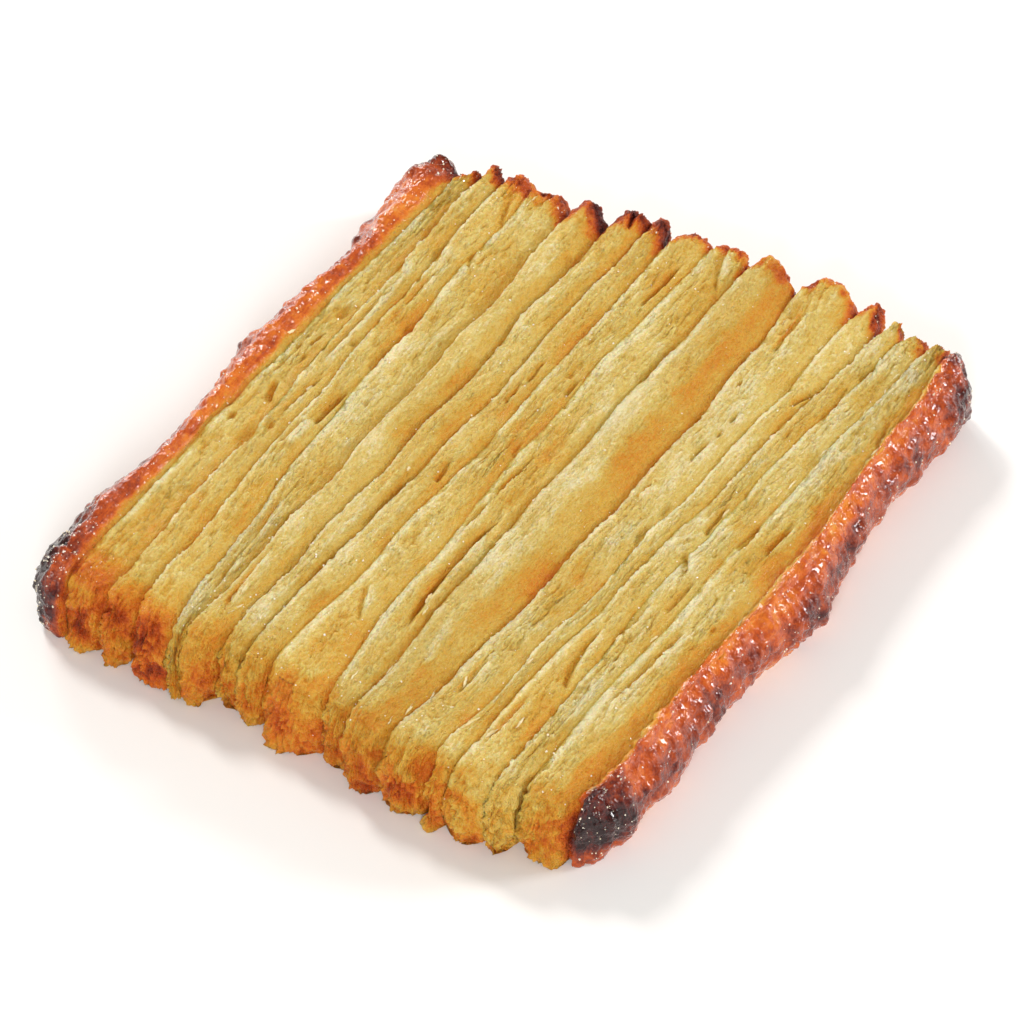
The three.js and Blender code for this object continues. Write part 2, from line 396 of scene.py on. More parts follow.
@dataclass(frozen=True)
class Lump:
    """A random field through space: how large its features are, how far it swings, and its own number."""

    size: float
    swing: float
    layer: int

    def at(self, noise: DoughNoise, points: Array) -> Array:
        """The field's value at each point."""
        return self.swing * noise.solid(points, self.size, self.layer)

    def bubbles(self, noise: DoughNoise, points: Array) -> Array:
        """The field folded up into round bubbles with sharp dips between them."""
        return self.swing * (1.5 * np.abs(noise.solid(points, self.size, self.layer)) - 0.6)


@dataclass(frozen=True)
class SlabForm:
    """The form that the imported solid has, with softer creases: where each fold, crease, lobe and side lies.

    A pair holds the left and the right side's value, the near and the far end's, or, for an inset, what the
    foot and the head of a wall lie back.

    station: how far from the middle a crease's near and far values are given.
    lip_power, flank_power: how the top falls away left and right of a crest, where 1 is straight.
    crease_share, least_crease: how much of a crease's depth the skin keeps, and the least that it has.
    meander, ripple: how far a crease wanders in long bends and in short ones.
    fold_gap: how far apart neighbouring creases lie in the noise.
    tip_rise: how far the far lobes curl up, over the tip's length.
    end_drop: how far the top turns down at the very end.
    base_lift, base_waves: how far the ragged foot stands clear of the tray, and its ups and downs.
    side_wave, right_swell: how far both sides wave, and how far the right one swells half way along.
    side_drop: how far the top has fallen where it meets a glazed side.
    end_sharpness, side_sharpness: how sharply the walls' edges turn.
    groove_share, flat_share: how deep the grooves below are beside the creases, and where they begin.
    end_stretch_power: how near the ends the rows of points give way to the lobes.
    """

    half_length: float = 56.0
    mean_side: Pair = (-49.3, 47.6)
    crest_height: float = 12.7
    station: float = 50.0
    lip_power: float = 1.7
    flank_power: float = 1.4
    crease_share: float = 0.85
    least_crease: float = 0.4
    meander: float = 0.25
    meander_lengths: Pair = (22.0, 34.0)
    ripple: Speckle = Speckle(1.0, 5.5, 0.22, 80)
    fold_gap: float = 3.3
    noise: DoughNoise = DoughNoise()
    tip_rise: float = 0.6
    tip_length: float = 9.0
    end_drop: Pair = (2.2, 0.9)
    end_drop_length: Pair = (5.5, 4.0)
    near_inset: Pair = (0.6, 2.4)
    far_inset: Pair = (0.5, 1.6)
    end_sharpness: tuple[int, int] = (3, 4)
    base_lift: float = 1.1
    base_lift_length: float = 2.2
    base_waves: tuple[Speckle, ...] = (Speckle(3.4, 3.4, 1.0, 70), Speckle(1.0, 1.0, 0.6, 71))
    side_wave: float = 1.0
    side_wave_length: float = 45.0
    side_wave_crest: float = 4.0
    right_swell: float = 2.1
    swell_length: float = 11.0
    side_drop: Pair = (2.2, 1.4)
    side_inset: Pair = (2.2, 2.6)
    side_sharpness: int = 2
    corner_radii: tuple[Pair, Pair] = ((5.0, 7.0), (9.0, 6.0))
    groove_share: float = 0.3
    flat_share: float = 0.6
    end_stretch_power: int = 8

    def along_stations(self, values: Triple, y: Array) -> Array:
        """The curve through a crease's three values.

        Args:
            values: the values at the near, the middle and the far station.
            y: the place along the slab.

        Returns:
            The curve's value at each place.
        """
        near, middle, far = values
        t = y / self.station
        return middle + (far - near) / 2 * t + ((far + near) / 2 - middle) * t * t

    def side_x(self, side: Side, y: Array) -> Array:
        """Where a glazed side is widest.

        Args:
            side: which side.
            y: the place along the slab.

        Returns:
            How far across the slab the side lies.
        """
        wave = self.side_wave * np.cos(2 * math.pi * (y - self.side_wave_crest) / self.side_wave_length)
        swell = self.right_swell * np.exp(-((y / self.swell_length) ** 2))
        if side is Side.LEFT:
            return self.mean_side[0] - wave
        return self.mean_side[1] + wave / 2 + swell

    def fold_start(self, index: int, y: Array, side_inset: Array | float) -> Array:
        """Where a fold begins, which is where the one before it ends.

        Args:
            index: which fold, or one past the last for the right side.
            y: the place along the slab.
            side_inset: how far a glazed side lies back there.

        Returns:
            How far across the slab the fold begins.
        """
        if index == 0:
            return self.side_x(Side.LEFT, y) + side_inset
        if index == len(FOLDS):
            return self.side_x(Side.RIGHT, y) - side_inset
        length = mix(*self.meander_lengths, (1 + math.sin(index)) / 2)
        bend = np.sin(2 * math.pi * y / length + index * index)
        ripple = self.ripple.at(self.noise, index * self.fold_gap, y)
        return self.along_stations(FOLDS[index - 1].crease, y) + self.meander * bend + ripple

    def mid_creases(self) -> Array:
        """Where the folds' edges lie half way along the slab, from its left side to its right side."""
        return np.array([self.mean_side[0], *(fold.crease[1] for fold in FOLDS[:-1]), self.mean_side[1]])

    def crease_depth(self, index: int, y: Array) -> Array:
        """How deep the crease left of a fold is at y, under the crest height."""
        depth = self.along_stations(FOLDS[index - 1].depth, y)
        return np.maximum(self.least_crease, self.crease_share * depth)

    @staticmethod
    def away_from_crest(index: int, share: Array) -> tuple[Array, Array]:
        """How far a share of a fold's width lies from its crest.

        Args:
            index: which fold.
            share: the place across it, from 0 at its left edge to 1 at its right edge.

        Returns:
            True where the place is left of the crest, and 0 on the crest to 1 on the edge on that side.
        """
        crest_share = FOLDS[index].crest[0]
        is_left = share < crest_share
        reach = np.where(is_left, crest_share, 1 - crest_share)
        return is_left, np.abs(share - crest_share) / reach

    def notch_bottom(self, crease: int, end: End) -> float:
        """How far past the half length the crease left of a fold leaves the end standing."""
        left, right = FOLDS[crease - 1], FOLDS[crease]
        return min(left.reach[end.value], right.reach[end.value]) - left.notch[end.value]

    def end_reach(self, index: int, share: Array, end: End) -> Array:
        """How far from the middle a fold ends.

        Args:
            index: which fold.
            share: the place across it.
            end: which of its ends.

        Returns:
            The lobe's reach at each place across it.
        """
        fold = FOLDS[index]
        reach = fold.reach[end.value]
        left = reach if index == 0 else self.notch_bottom(index, end)
        right = reach if index == LAST else self.notch_bottom(index + 1, end)
        is_left, away = self.away_from_crest(index, share)
        return self.half_length + mix(reach, np.where(is_left, left, right), away ** fold.points[end.value])

    def end_wall_inset(self, level: Array, sign: Array) -> Array:
        """How far an end face lies back at a share of its height: the near one turns over more gently."""
        near = self.wall_inset(level, self.near_inset, self.end_sharpness[0])
        far = self.wall_inset(level, self.far_inset, self.end_sharpness[1])
        return np.where(sign > 0, far, near)

    def top_height(self, index: int, share: Array, y: Array, inside_end: Array) -> Array:
        """The height of a fold's top before its relief.

        Args:
            index: which fold.
            share: the place across it.
            y: the place along it.
            inside_end: how far the place lies inside the nearer end.

        Returns:
            The height over the tray.
        """
        crest = self.crest_height + FOLDS[index].crest[1]
        left, right = (crest - drop for drop in self.side_drop)
        if index > 0:
            left = self.crest_height - self.crease_depth(index, y)
        if index < LAST:
            right = self.crest_height - self.crease_depth(index + 1, y)
        inside = np.maximum(0.0, inside_end)
        tip = np.where(y > 0, self.tip_rise * np.maximum(0.0, 1 - inside / self.tip_length) ** 2, 0.0)
        drops = []
        for depth, length in zip(self.end_drop, self.end_drop_length):
            drops.append(depth * np.maximum(0.0, 1 - inside / length) ** 2)
        drop = np.where(y < 0, *drops)
        is_left, away = self.away_from_crest(index, share)
        power = np.where(is_left, self.lip_power, self.flank_power)
        return mix(crest + tip, np.where(is_left, left, right), away**power) - drop

    def underside_height(self, index: int, share: Array, y: Array) -> Array:
        """The height of a fold's underside: flat on the tray between shallow grooves under the creases.

        Args:
            index: which fold.
            share: the place across it.
            y: the place along it.

        Returns:
            The height over the tray.
        """
        left = 0.0 if index == 0 else self.groove_share * self.crease_depth(index, y)
        right = 0.0 if index == LAST else self.groove_share * self.crease_depth(index + 1, y)
        is_left, away = self.away_from_crest(index, share)
        rise = np.maximum(0.0, (away - self.flat_share) / (1 - self.flat_share)) ** 2
        return rise * np.where(is_left, left, right)

    @staticmethod
    def wall_inset(level: Array, insets: Pair, sharpness: int) -> Array:
        """How far a wall lies back at a share of its height, by how sharply its edges turn."""
        away = np.abs(2 * level - 1)
        return np.where(level < 0.5, insets[0], insets[1]) * away**sharpness

    def round_corner(self, x: Array, y: Array, end_distance: Array) -> tuple[Array, Array]:
        """Moves the points near the slab's four corners onto round corners in plan.

        Args:
            x: the points' places across the slab.
            y: the points' places along the slab.
            end_distance: how far from the middle the slab ends at each point.

        Returns:
            The new places across and along.
        """
        new_x, new_y = x.copy(), y.copy()
        for side in Side:
            for end in End:
                radius = self.corner_radii[side.value][end.value]
                centre_x = np.abs(self.side_x(side, y)) - radius
                centre_y = end_distance - radius
                u = (np.abs(x) - centre_x) / radius
                v = (np.abs(y) - centre_y) / radius
                in_quarter = ((x < 0) == (side is Side.LEFT)) & ((y < 0) == (end is End.NEAR))
                near = in_quarter & (u > 0) & (v > 0)
                round_x = np.sign(x) * (centre_x + radius * u * np.sqrt(np.maximum(0.5, 1 - v * v / 2)))
                round_y = np.sign(y) * (centre_y + radius * v * np.sqrt(np.maximum(0.5, 1 - u * u / 2)))
                new_x = np.where(near, round_x, new_x)
                new_y = np.where(near, round_y, new_y)
        return new_x, new_y


@dataclass(frozen=True)
class LayerRelief:
    """One size of the dough's layers, standing on edge: each rises sharply and slopes away to the right.

    pitch, run: how far apart the layers stand, and how long they run.
    height, least: how high they stand in open crumb, and the share of it that they keep in smooth dough.
    salt: the first of the noise's fields that they use.
    wander, ragged: how far they bend and how ragged they are, as a share of the pitch.
    wander_width, ragged_run: how wide the bends are in pitches, and how short the rags are in runs.
    mean_strength, strength_swing, strength_run: how strongly they stand out, how much that changes, and
        over what share of a run.
    layer_gap: how far apart neighbouring layers lie in the noise.
    fall_power: how hollow their slope is.
    mean_rise: what their rise is set off by, so that they neither raise nor lower the dough.
    """

    pitch: float
    run: float
    height: float
    least: float
    salt: int
    wander: float = 1.1
    wander_width: float = 3.2
    ragged: float = 0.2
    ragged_run: float = 0.16
    mean_strength: float = 0.45
    strength_swing: float = 1.1
    strength_run: float = 0.55
    layer_gap: float = 7.31
    fall_power: float = 1.2
    mean_rise: float = 0.28

    def rise(self, noise: DoughNoise, across: Array, along: Array, crumb: Array) -> Array:
        """How far the layers stand out.

        Args:
            noise: the random fields to draw from.
            across: the place across the layers.
            along: the place along the layers.
            crumb: how torn open the dough is there, from 0 to 1.

        Returns:
            The rise at each place, around 0.
        """
        bends = Speckle(self.wander_width * self.pitch, self.run, self.wander, self.salt)
        rags = Speckle(self.pitch, self.ragged_run * self.run, self.ragged, self.salt + 1)
        phase = across / self.pitch + bends.at(noise, across, along) + rags.at(noise, across, along)
        layer = np.floor(phase)
        slope = 1.0 - (phase - layer)
        change = Speckle(1.0, self.strength_run * self.run, self.strength_swing, self.salt + 2)
        strength = self.mean_strength + change.at(noise, layer * self.layer_gap, along)
        rise = np.clip(strength, 0, 1) * slope**self.fall_power - self.mean_rise
        return self.height * mix(self.least, 1.0, crumb) * rise


@dataclass
class Marks:
    """What the creases, the tears and the hollows make of a set of surface points.

    dent: how far they push each point down.
    slope: how far each point lies on a smooth slope, from 0 to 1, which is drawn orange: partly browning and
    partly painted shade.
    lip: how far each point lies on a raised lip, from 0 to 1, which is drawn paler: partly its own pale colour
    and partly painted light.
    """

    dent: Array
    slope: Array
    lip: Array


@dataclass(frozen=True)
class DoughSurface:
    """The relief of the baked dough and how brown it is, over the whole slab.

    Relief is in millimetres. Browning goes from 0, pale, to 1, burnt black, and holds painted shade in the
    creases, on the slopes and in low places and painted light on the lips and raised places. A Span says where
    a thing begins and where it is full, so it may fall.

    lip_lean, rim_lean: how far the lips lean over the creases, and what the near part of the last one adds.
    full_depth, most_lean: how deep a crease is where its lip leans in full, and the most that it leans.
    tear_wall, tear_fade: how wide the wall beyond a tear is, and over what length its lip fades.
    blisters, scallops, nicks: the lumps of the glaze, and how the glazed sides bulge and nick.
    end_layers: how much more the layers stand out on the end faces.
    near_face_browning: how far past the near end its lobes' browning is full.
    shade_per_depth: how much browner a millimetre lower down is drawn and paler one higher up: painted shade
    in low places and painted light on raised ones.
    rim_tinge: how much browner the dough is beside the left and the right rim.
    pale_dough, right_paling: how brown the top is, and how much less so on its right part.
    near_paling, far_face_toast: what the near lobes lack, and the most that the far face has low down.
    tinge_toast: the most that the first tinge has, where a lobe's browning begins.
    patch_reach: how far the browning of an end runs ahead in its patches.
    held_half: over what share of a fold's width, either way from its middle, its own values hold.
    """

    form: SlabForm = SlabForm()
    noise: DoughNoise = DoughNoise()
    layers: tuple[LayerRelief, ...] = (
        LayerRelief(pitch=2.3, run=20.0, height=0.34, least=0.2, salt=10),
        LayerRelief(pitch=0.95, run=7.0, height=0.3, least=0.3, salt=20),
        LayerRelief(pitch=0.5, run=2.4, height=0.32, least=0.6, salt=30),
    )
    crumb_patches: Speckle = Speckle(4.5, 11.0, 0.5, 40)
    glaze_rags: tuple[Speckle, ...] = (Speckle(0.25, 2.5, 0.04, 41), Speckle(2 / 3, 9.0, 0.05, 42))
    glaze_edge: Span = (0.95, 0.72)
    glaze_stop: Span = (1.0, 0.93)
    lip_rags: tuple[Speckle, ...] = (Speckle(1.0, 5.0, 0.9, 43), Speckle(1.0, 1.1, 0.3, 44))
    lip_gaps: Pair = (9.1, 5.3)
    pits: Speckle = Speckle(0.8, 1.9, 1.0, 45)
    pit_edge: Span = (0.3, 0.75)
    pit_depth: float = 0.3
    hollows: Speckle = Speckle(3.0, 7.0, 1.0, 46)
    hollow_edge: Span = (0.28, 0.55)
    hollow_depth: float = 0.25
    grain: Lump = Lump(0.5, 0.15, 47)
    swell: Speckle = Speckle(7.0, 9.0, 0.25, 48)
    underside: Lump = Lump(1.6, 0.12, 49)
    lip_lean: float = 0.15
    rim_lean: float = 0.9
    rim_lean_span: Span = (-6.0, -12.0)
    lean_span: Span = (0.3, 0.8)
    full_depth: float = 2.4
    most_lean: float = 1.3
    lip_rise: float = 0.14
    lip_span: Span = (0.45, 0.75)
    lip_stop: Span = (1.0, 0.9)
    lip_slope: Span = (0.86, 1.0)
    flank_rags: Speckle = Speckle(1.2, 2.4, 0.12, 57)
    flank_begin: Pair = (0.7, 0.62)
    flank_edge: Pair = (0.1, 0.25)
    tear_rags: Speckle = Speckle(1.1, 1.0, 0.12, 58)
    tear_wall: float = 0.4
    tear_fade: float = 0.9
    blisters: tuple[Lump, ...] = (Lump(3.6, 0.5, 50), Lump(1.6, 0.32, 51), Lump(0.8, 0.16, 52))
    scallop: float = 0.7
    scallops: Speckle = Speckle(4.2, 1.0, 1.0, 55)
    nicks: Speckle = Speckle(0.34 * 4.2, 1.0, 1.0, 56)
    nick_share: float = 0.35
    end_bulges: tuple[Lump, ...] = (Lump(5.0, 1.0, 59), Lump(2.0, 0.5, 67))
    end_bulge: float = 0.8
    end_rag_sizes: tuple[Lump, ...] = (Lump(1.3, 1.0, 72), Lump(0.6, 0.5, 73))
    end_rags: float = 0.45
    end_layers: float = 2.0
    near_face_browning: float = 8.0
    shade_per_depth: float = 0.26
    rim_tinge: Pair = (0.12, 0.26)
    pale_dough: float = 0.19
    right_paling: float = 0.055
    right_paling_span: Span = (-20.0, 26.0)
    near_paling: float = 0.03
    far_face_toast: float = 0.52
    far_face_span: Span = (11.0, 7.0)
    tinge_toast: float = 0.37
    patch_reach: float = 1.4
    held_half: float = 0.3
    clouds: tuple[Speckle, ...] = (Speckle(6.0, 16.0, 0.05, 60), Speckle(1.4, 4.0, 0.04, 61))
    patches: tuple[Speckle, ...] = (Speckle(2.2, 2.8, 1.0, 62), Speckle(0.8, 1.0, 0.5, 68))
    base_toast: float = 0.44
    base_clouds: tuple[Lump, ...] = (Lump(3.0, 0.08, 63), Lump(0.9, 0.06, 64))
    glaze_spots: tuple[Lump, ...] = (Lump(2.4, 0.09, 65), Lump(0.9, 0.08, 66))
    glaze_cloud: Lump = Lump(7.0, 0.07, 69)

    def between_folds(self, across: Array, values: list[float]) -> Array:
        """A value that each fold has, held over most of its width and blended over the crease to the next.

        Args:
            across: the place across the layers.
            values: one value for each fold.

        Returns:
            The value at each place.
        """
        edges = self.form.mid_creases()
        middles = (edges[:-1] + edges[1:]) / 2
        held = self.held_half * np.diff(edges)
        places = np.stack([middles - held, middles + held], axis=1).ravel()
        return np.interp(across, places, np.repeat(values, 2))

    def crumb(self, across: Array, along: Array) -> Array:
        """How torn open the dough is, from 0 to 1."""
        patch = self.crumb_patches.at(self.noise, across, along)
        crumb = self.between_folds(across, [bake.open_crumb for bake in BAKES])
        return np.clip(crumb + patch, 0.0, 1.0)

    def flank(self, index: int, is_left: Array, y: Array) -> Array:
        """How orange the slope beside a place is drawn, partly browning and partly painted shade: the fold's
        own, or its left neighbour's on its left.

        Args:
            index: which fold.
            is_left: True where the place is left of the crest.
            y: the place along the slab.

        Returns:
            0 for pale to 1 for orange.
        """
        share = (y + self.form.station) / (2 * self.form.station)
        own = mix(*BAKES[index].flank, share)
        beside = mix(*BAKES[max(0, index - 1)].flank, share)
        return np.where(is_left, beside, own)

    def glaze(self, index: int, share: Array, along: Array) -> Array:
        """How much sugar glaze covers the dough: the two long sides, and ragged patches over their edges.

        Args:
            index: which fold.
            share: the place across it.
            along: the place along the layers.

        Returns:
            0 where the dough is bare, 1 where it is glazed.
        """
        if index not in (0, LAST):
            return np.zeros(np.broadcast(share, along).shape)
        inward = share if index == 0 else 1.0 - share
        ragged = sum(rags.at(self.noise, inward, along) for rags in self.glaze_rags)
        return smooth_step(*self.glaze_edge, inward + ragged) * smooth_step(*self.glaze_stop, inward)

    def lean(self, index: int, share: Array, level: Array, y: Array, inside_end: Array) -> Array:
        """How far a fold's left lip leans over the crease beside it.

        Args:
            index: which fold.
            share: the place across it.
            level: the place up the walls.
            y: the place along the slab.
            inside_end: how far the place lies inside the nearer end.

        Returns:
            How far each place moves to the left.
        """
        if index == 0:
            return np.zeros(np.broadcast(share, y).shape)
        is_left, away = self.form.away_from_crest(index, share)
        on_lip = is_left * (level >= 1.0)
        lip = smooth_step(*self.lean_span, away) * smooth_step(*self.lip_stop, away) * on_lip
        depth = np.minimum(self.most_lean, self.form.crease_depth(index, y) / self.full_depth)
        ragged = 1.0
        for rags, gap in zip(self.lip_rags, self.lip_gaps):
            ragged = ragged + rags.at(self.noise, index * gap, y)
        reach = self.lip_lean
        if index == LAST:
            reach = reach + self.rim_lean * smooth_step(*self.rim_lean_span, y)
        return reach * lip * depth * ragged * smooth_step(0.0, 4.0, inside_end)

    def marks(self, index: int, place: "Place") -> Marks:
        """Gathers what the fold's own crease, the tears and the hollows do to its points.

        Args:
            index: which fold.
            place: where the points lie.

        Returns:
            The dent, the slope and the lip of each point.
        """
        x, y = place.points[..., 0], place.points[..., 1]
        is_left, away = self.form.away_from_crest(index, place.share)
        begin = self.flank_begin[0] - self.flank_begin[1] * self.flank(index, is_left, y)
        before, after = self.flank_edge
        away_ragged = away + self.flank_rags.at(self.noise, place.across, place.along)
        flank_slope = smooth_step(begin - before, begin + after, away_ragged)
        slope = np.where(is_left, smooth_step(*self.lip_slope, away), flank_slope)
        if index == 0:
            slope = slope * ~is_left
        lip = smooth_step(*self.lip_span, away) * smooth_step(*self.lip_stop, away) * is_left
        marks = Marks(np.zeros(len(x)), slope, lip)
        for tear in TEARS:
            self._mark_tear(marks, tear, x, y)
        for hollow in HOLLOWS:
            self._mark_hollow(marks, hollow, x, y)
        marks.lip = marks.lip * (1.0 - 0.5 * marks.slope)
        return marks

    def _mark_tear(self, marks: Marks, tear: Tear, x: Array, y: Array) -> None:
        """Adds a tear's slope, wall and lip.

        Args:
            marks: the marks, which are changed.
            tear: the tear.
            x: the points' places across the slab.
            y: the points' places along the slab.
        """
        share = (y - tear.start[1]) / (tear.stop[1] - tear.start[1])
        line = mix(tear.start[0], tear.stop[0], share) + 4.0 * tear.bend * share * (1.0 - share)
        line = line + self.tear_rags.at(self.noise, y, tear.start[0])
        strength = smooth_step(0.0, 0.25, share) * smooth_step(1.0, 0.75, share)
        right = x - line
        down = np.clip(1.0 + right / tear.width, 0.0, 1.0) * (right < 0)
        beyond = np.exp(-np.maximum(0.0, right - self.tear_wall) / self.tear_fade) * (right >= 0)
        wall = smooth_step(0.0, self.tear_wall, right)
        behind_wall = (1.0 - wall - 0.3 * wall * beyond) * (right >= 0)
        marks.dent += strength * tear.depth * (down**1.6 + behind_wall)
        # Painted shade on the slope down to the tear and painted light on its lip, through the slope and lip
        # marks.
        marks.slope = np.maximum(marks.slope, strength * smooth_step(0.1, 0.6, down))
        marks.lip = np.maximum(marks.lip, strength * wall * beyond)

    @staticmethod
    def _mark_hollow(marks: Marks, hollow: Hollow, x: Array, y: Array) -> None:
        """Adds a hollow's dent and the orange on its floor, which is painted shade.

        Args:
            marks: the marks, which are changed.
            hollow: the hollow.
            x: the points' places across the slab.
            y: the points' places along the slab.
        """
        away_x = (x - hollow.middle[0]) / hollow.reach[0]
        away_y = (y - hollow.middle[1]) / hollow.reach[1]
        inside = np.clip(1.0 - away_x**2 - away_y**2, 0.0, 1.0)
        marks.dent += hollow.depth * inside
        # Painted shade: the hollow's floor counts as a slope and is drawn orange.
        marks.slope = np.maximum(marks.slope, 0.7 * smooth_step(0.0, 0.6, inside))

    def glaze_rise(self, points: Array) -> Array:
        """The rounded lumps of the boiled sugar glaze, and how the glazed sides bulge and nick along them.

        Args:
            points: the points.

        Returns:
            The rise of each point.
        """
        bubbles = sum(blister.bubbles(self.noise, points) for blister in self.blisters)
        y = points[..., 1]
        wave, nick = (np.abs(part.at(self.noise, y, 0.0)) for part in (self.scallops, self.nicks))
        bulges = self.scallop * (wave - 0.4) + self.nick_share * self.scallop * (nick - 0.4)
        return bubbles + bulges

    def rise(self, place: "Place", marks: Marks) -> Array:
        """How far the surface stands out from the plain form.

        Args:
            place: where the points lie.
            marks: what the creases, the tears and the hollows do there.

        Returns:
            The rise of each point, along its normal.
        """
        noise, points, across, along = self.noise, place.points, place.across, place.along
        crumb = self.crumb(across, along)
        layers = sum(relief.rise(noise, across, along, crumb) for relief in self.layers)
        layers = layers * mix(1.0, self.end_layers, smooth_step(0.0, -2.0, place.inside_end))
        pits = self.pit_depth * smooth_step(*self.pit_edge, self.pits.at(noise, across, along)) * crumb
        hollows = smooth_step(*self.hollow_edge, self.hollows.at(noise, across, along))
        hollows = self.hollow_depth * hollows * crumb
        grain = self.grain.at(noise, points)
        rough = 1.0 - 0.75 * marks.slope
        dough = (layers - pits - hollows) * rough + grain * (1.0 - 0.5 * marks.slope)
        dough = dough + self.swell.at(noise, across, along)
        on_top = smooth_step(-1.5, 0.5, place.inside_end)
        dough = dough + (self.lip_rise * marks.lip - marks.dent) * on_top
        bulge = sum(part.at(noise, points) for part in self.end_bulges)
        dough = dough + self.end_bulge * bulge * smooth_step(2.0, -2.0, place.inside_end)
        rags = sum(np.abs(part.at(noise, points)) for part in self.end_rag_sizes)
        dough = dough + self.end_rags * (1.5 * rags - 0.6) * smooth_step(0.8, -0.6, place.inside_end)
        rise = mix(dough, self.glaze_rise(points) + 0.15 * grain, place.glaze)
        underside = np.maximum(0.0, self.underside.at(noise, points))
        return np.where(place.is_base, -underside, rise) * place.shown

    def toast(self, index: int, place: "Place", marks: Marks, rise: Array) -> Array:
        """How brown the crust is drawn, from 0, pale, to 1, burnt black, with painted shade in the creases, on
        the slopes and in low places and painted light on the lips and raised places.

        Args:
            index: which fold.
            place: where the points lie.
            marks: what the creases, the tears and the hollows do there.
            rise: how far each point stands out.

        Returns:
            The browning of each point, painted light and shade included.
        """
        noise, across, along, y = self.noise, place.across, place.along, place.points[..., 1]
        is_left, away = self.form.away_from_crest(index, place.share)
        flank = self.flank(index, is_left, y)
        # Painted shade: the crust is drawn browner next to the creases, on the top and at the browned ends.
        crease = smooth_step(0.84, 1.0, away)
        if index == 0:
            crease = crease * ~is_left
        if index == LAST:
            crease = crease * is_left
        cloud = sum(part.at(noise, across, along) for part in self.clouds)
        # Painted light and shade: raised places are drawn paler and low places browner, by how far they rise.
        relief_light_and_shade = self.shade_per_depth * np.clip(rise + 0.6 * marks.dent, -0.5, 0.5)
        paler = self.right_paling * smooth_step(*self.right_paling_span, place.points[..., 0])
        # Painted shade: slopes, the orange right flanks most, are drawn browner, partly as browning and partly
        # as shade away from the key light.
        slopes = (0.04 + 0.17 * flank) * marks.slope
        # Painted light, in part: the raised lips are drawn paler, partly their own pale colour and partly
        # light on the side that faces the lamp.
        top = self.pale_dough - paler + cloud + slopes + 0.1 * crease - 0.1 * marks.lip - relief_light_and_shade
        patches = sum(part.at(noise, across, along) for part in self.patches)
        brown = top + self.beside_rims(place.points, patches) * (1.0 - marks.slope * flank)
        for end in End:
            on_end = (y < 0) if end is End.NEAR else (y > 0)
            run = self.between_folds(across, [bake.runs[end.value] for bake in BAKES])
            tip = self.between_folds(across, [bake.tips[end.value] for bake in BAKES])
            if end is End.FAR:
                face = smooth_step(*self.far_face_span, place.points[..., 2])
                tip = mix(tip, np.minimum(tip, self.far_face_toast), face)
                full = -1.0
                longer = 1.0 + 0.5 * ~is_left * away * (1.0 - crease)
            else:
                tip = tip - self.near_paling
                full = 0.6 * run - self.near_face_browning
                longer = 1.0
            inside = place.inside_end / longer + self.patch_reach * patches
            tinged = smooth_step(run, -2.0, inside) * on_end
            browned = smooth_step(0.6 * run, full, inside) * on_end
            # The painted light and shade of the relief carries on into the browned ends.
            brown = mix(brown, np.minimum(tip, self.tinge_toast) - relief_light_and_shade, 0.8 * tinged)
            burnt = tip + 0.1 * patches + 0.08 * crease - 0.8 * relief_light_and_shade
            brown = mix(brown, burnt, browned)
        brown = mix(brown, self.glazed_toast(index, place), place.glaze)
        base = sum((part.at(noise, place.points) for part in self.base_clouds), start=self.base_toast)
        brown = np.where(place.is_base, base, brown)
        return np.clip(brown, 0.0, 1.0)

    def beside_rims(self, points: Array, patches: Array) -> Array:
        """How much browner the dough is beside the glazed rims, in ragged patches.

        Args:
            points: the points.
            patches: how far the browning is ahead or behind at each of them.

        Returns:
            What is added to the browning of each point.
        """
        x, y = points[..., 0], points[..., 1]
        from_left = x - self.form.side_x(Side.LEFT, y) + 0.9 * patches
        from_right = self.form.side_x(Side.RIGHT, y) - x + 0.9 * patches
        left, right = smooth_step(8.5, 5.5, from_left), smooth_step(7.5, 4.5, from_right)
        return self.rim_tinge[0] * left + self.rim_tinge[1] * right

    def glazed_toast(self, index: int, place: "Place") -> Array:
        """How brown the glazed sides are: orange on top, red-brown lower down, and black at the corners.

        Args:
            index: which fold.
            place: where the points lie.

        Returns:
            The browning of each point.
        """
        y, z = place.points[..., 1], place.points[..., 2]
        spots = sum(part.at(self.noise, place.points) for part in self.glaze_spots)
        cloud = self.glaze_cloud.at(self.noise, place.points)
        low = smooth_step(5.5, 1.0, z)
        down = smooth_step(12.0, 8.0, z) * (1.0 - low) * (0.08 if index == 0 else 0.16)
        far_corner = smooth_step(42.0, 53.0, y)
        if index == 0:
            outer = smooth_step(0.45, 0.1, place.share)
            near = 0.08 * smooth_step(-10.0, -36.0, y) + (0.05 + 0.2 * outer) * smooth_step(-36.0, -50.0, y)
            far = 0.4 * far_corner * mix(0.6, 1.0, outer)
            return 0.63 + 0.04 * outer + down + 0.8 * spots + cloud + near + far
        outward = 0.12 * smooth_step(0.1, 0.5, place.share)
        near = 0.27 * smooth_step(-43.0, -51.0, y) * mix(1.0, 0.3, low)
        return 0.51 + down + outward + 0.9 * spots + cloud + near + 0.22 * far_corner


@dataclass
class Place:
    """Where a set of surface points lies, in the dough's own terms."""

    points: Array
    share: Array
    level: Array
    across: Array
    along: Array
    inside_end: Array
    glaze: Array
    is_base: Array
    is_cap: Array
    shown: Array


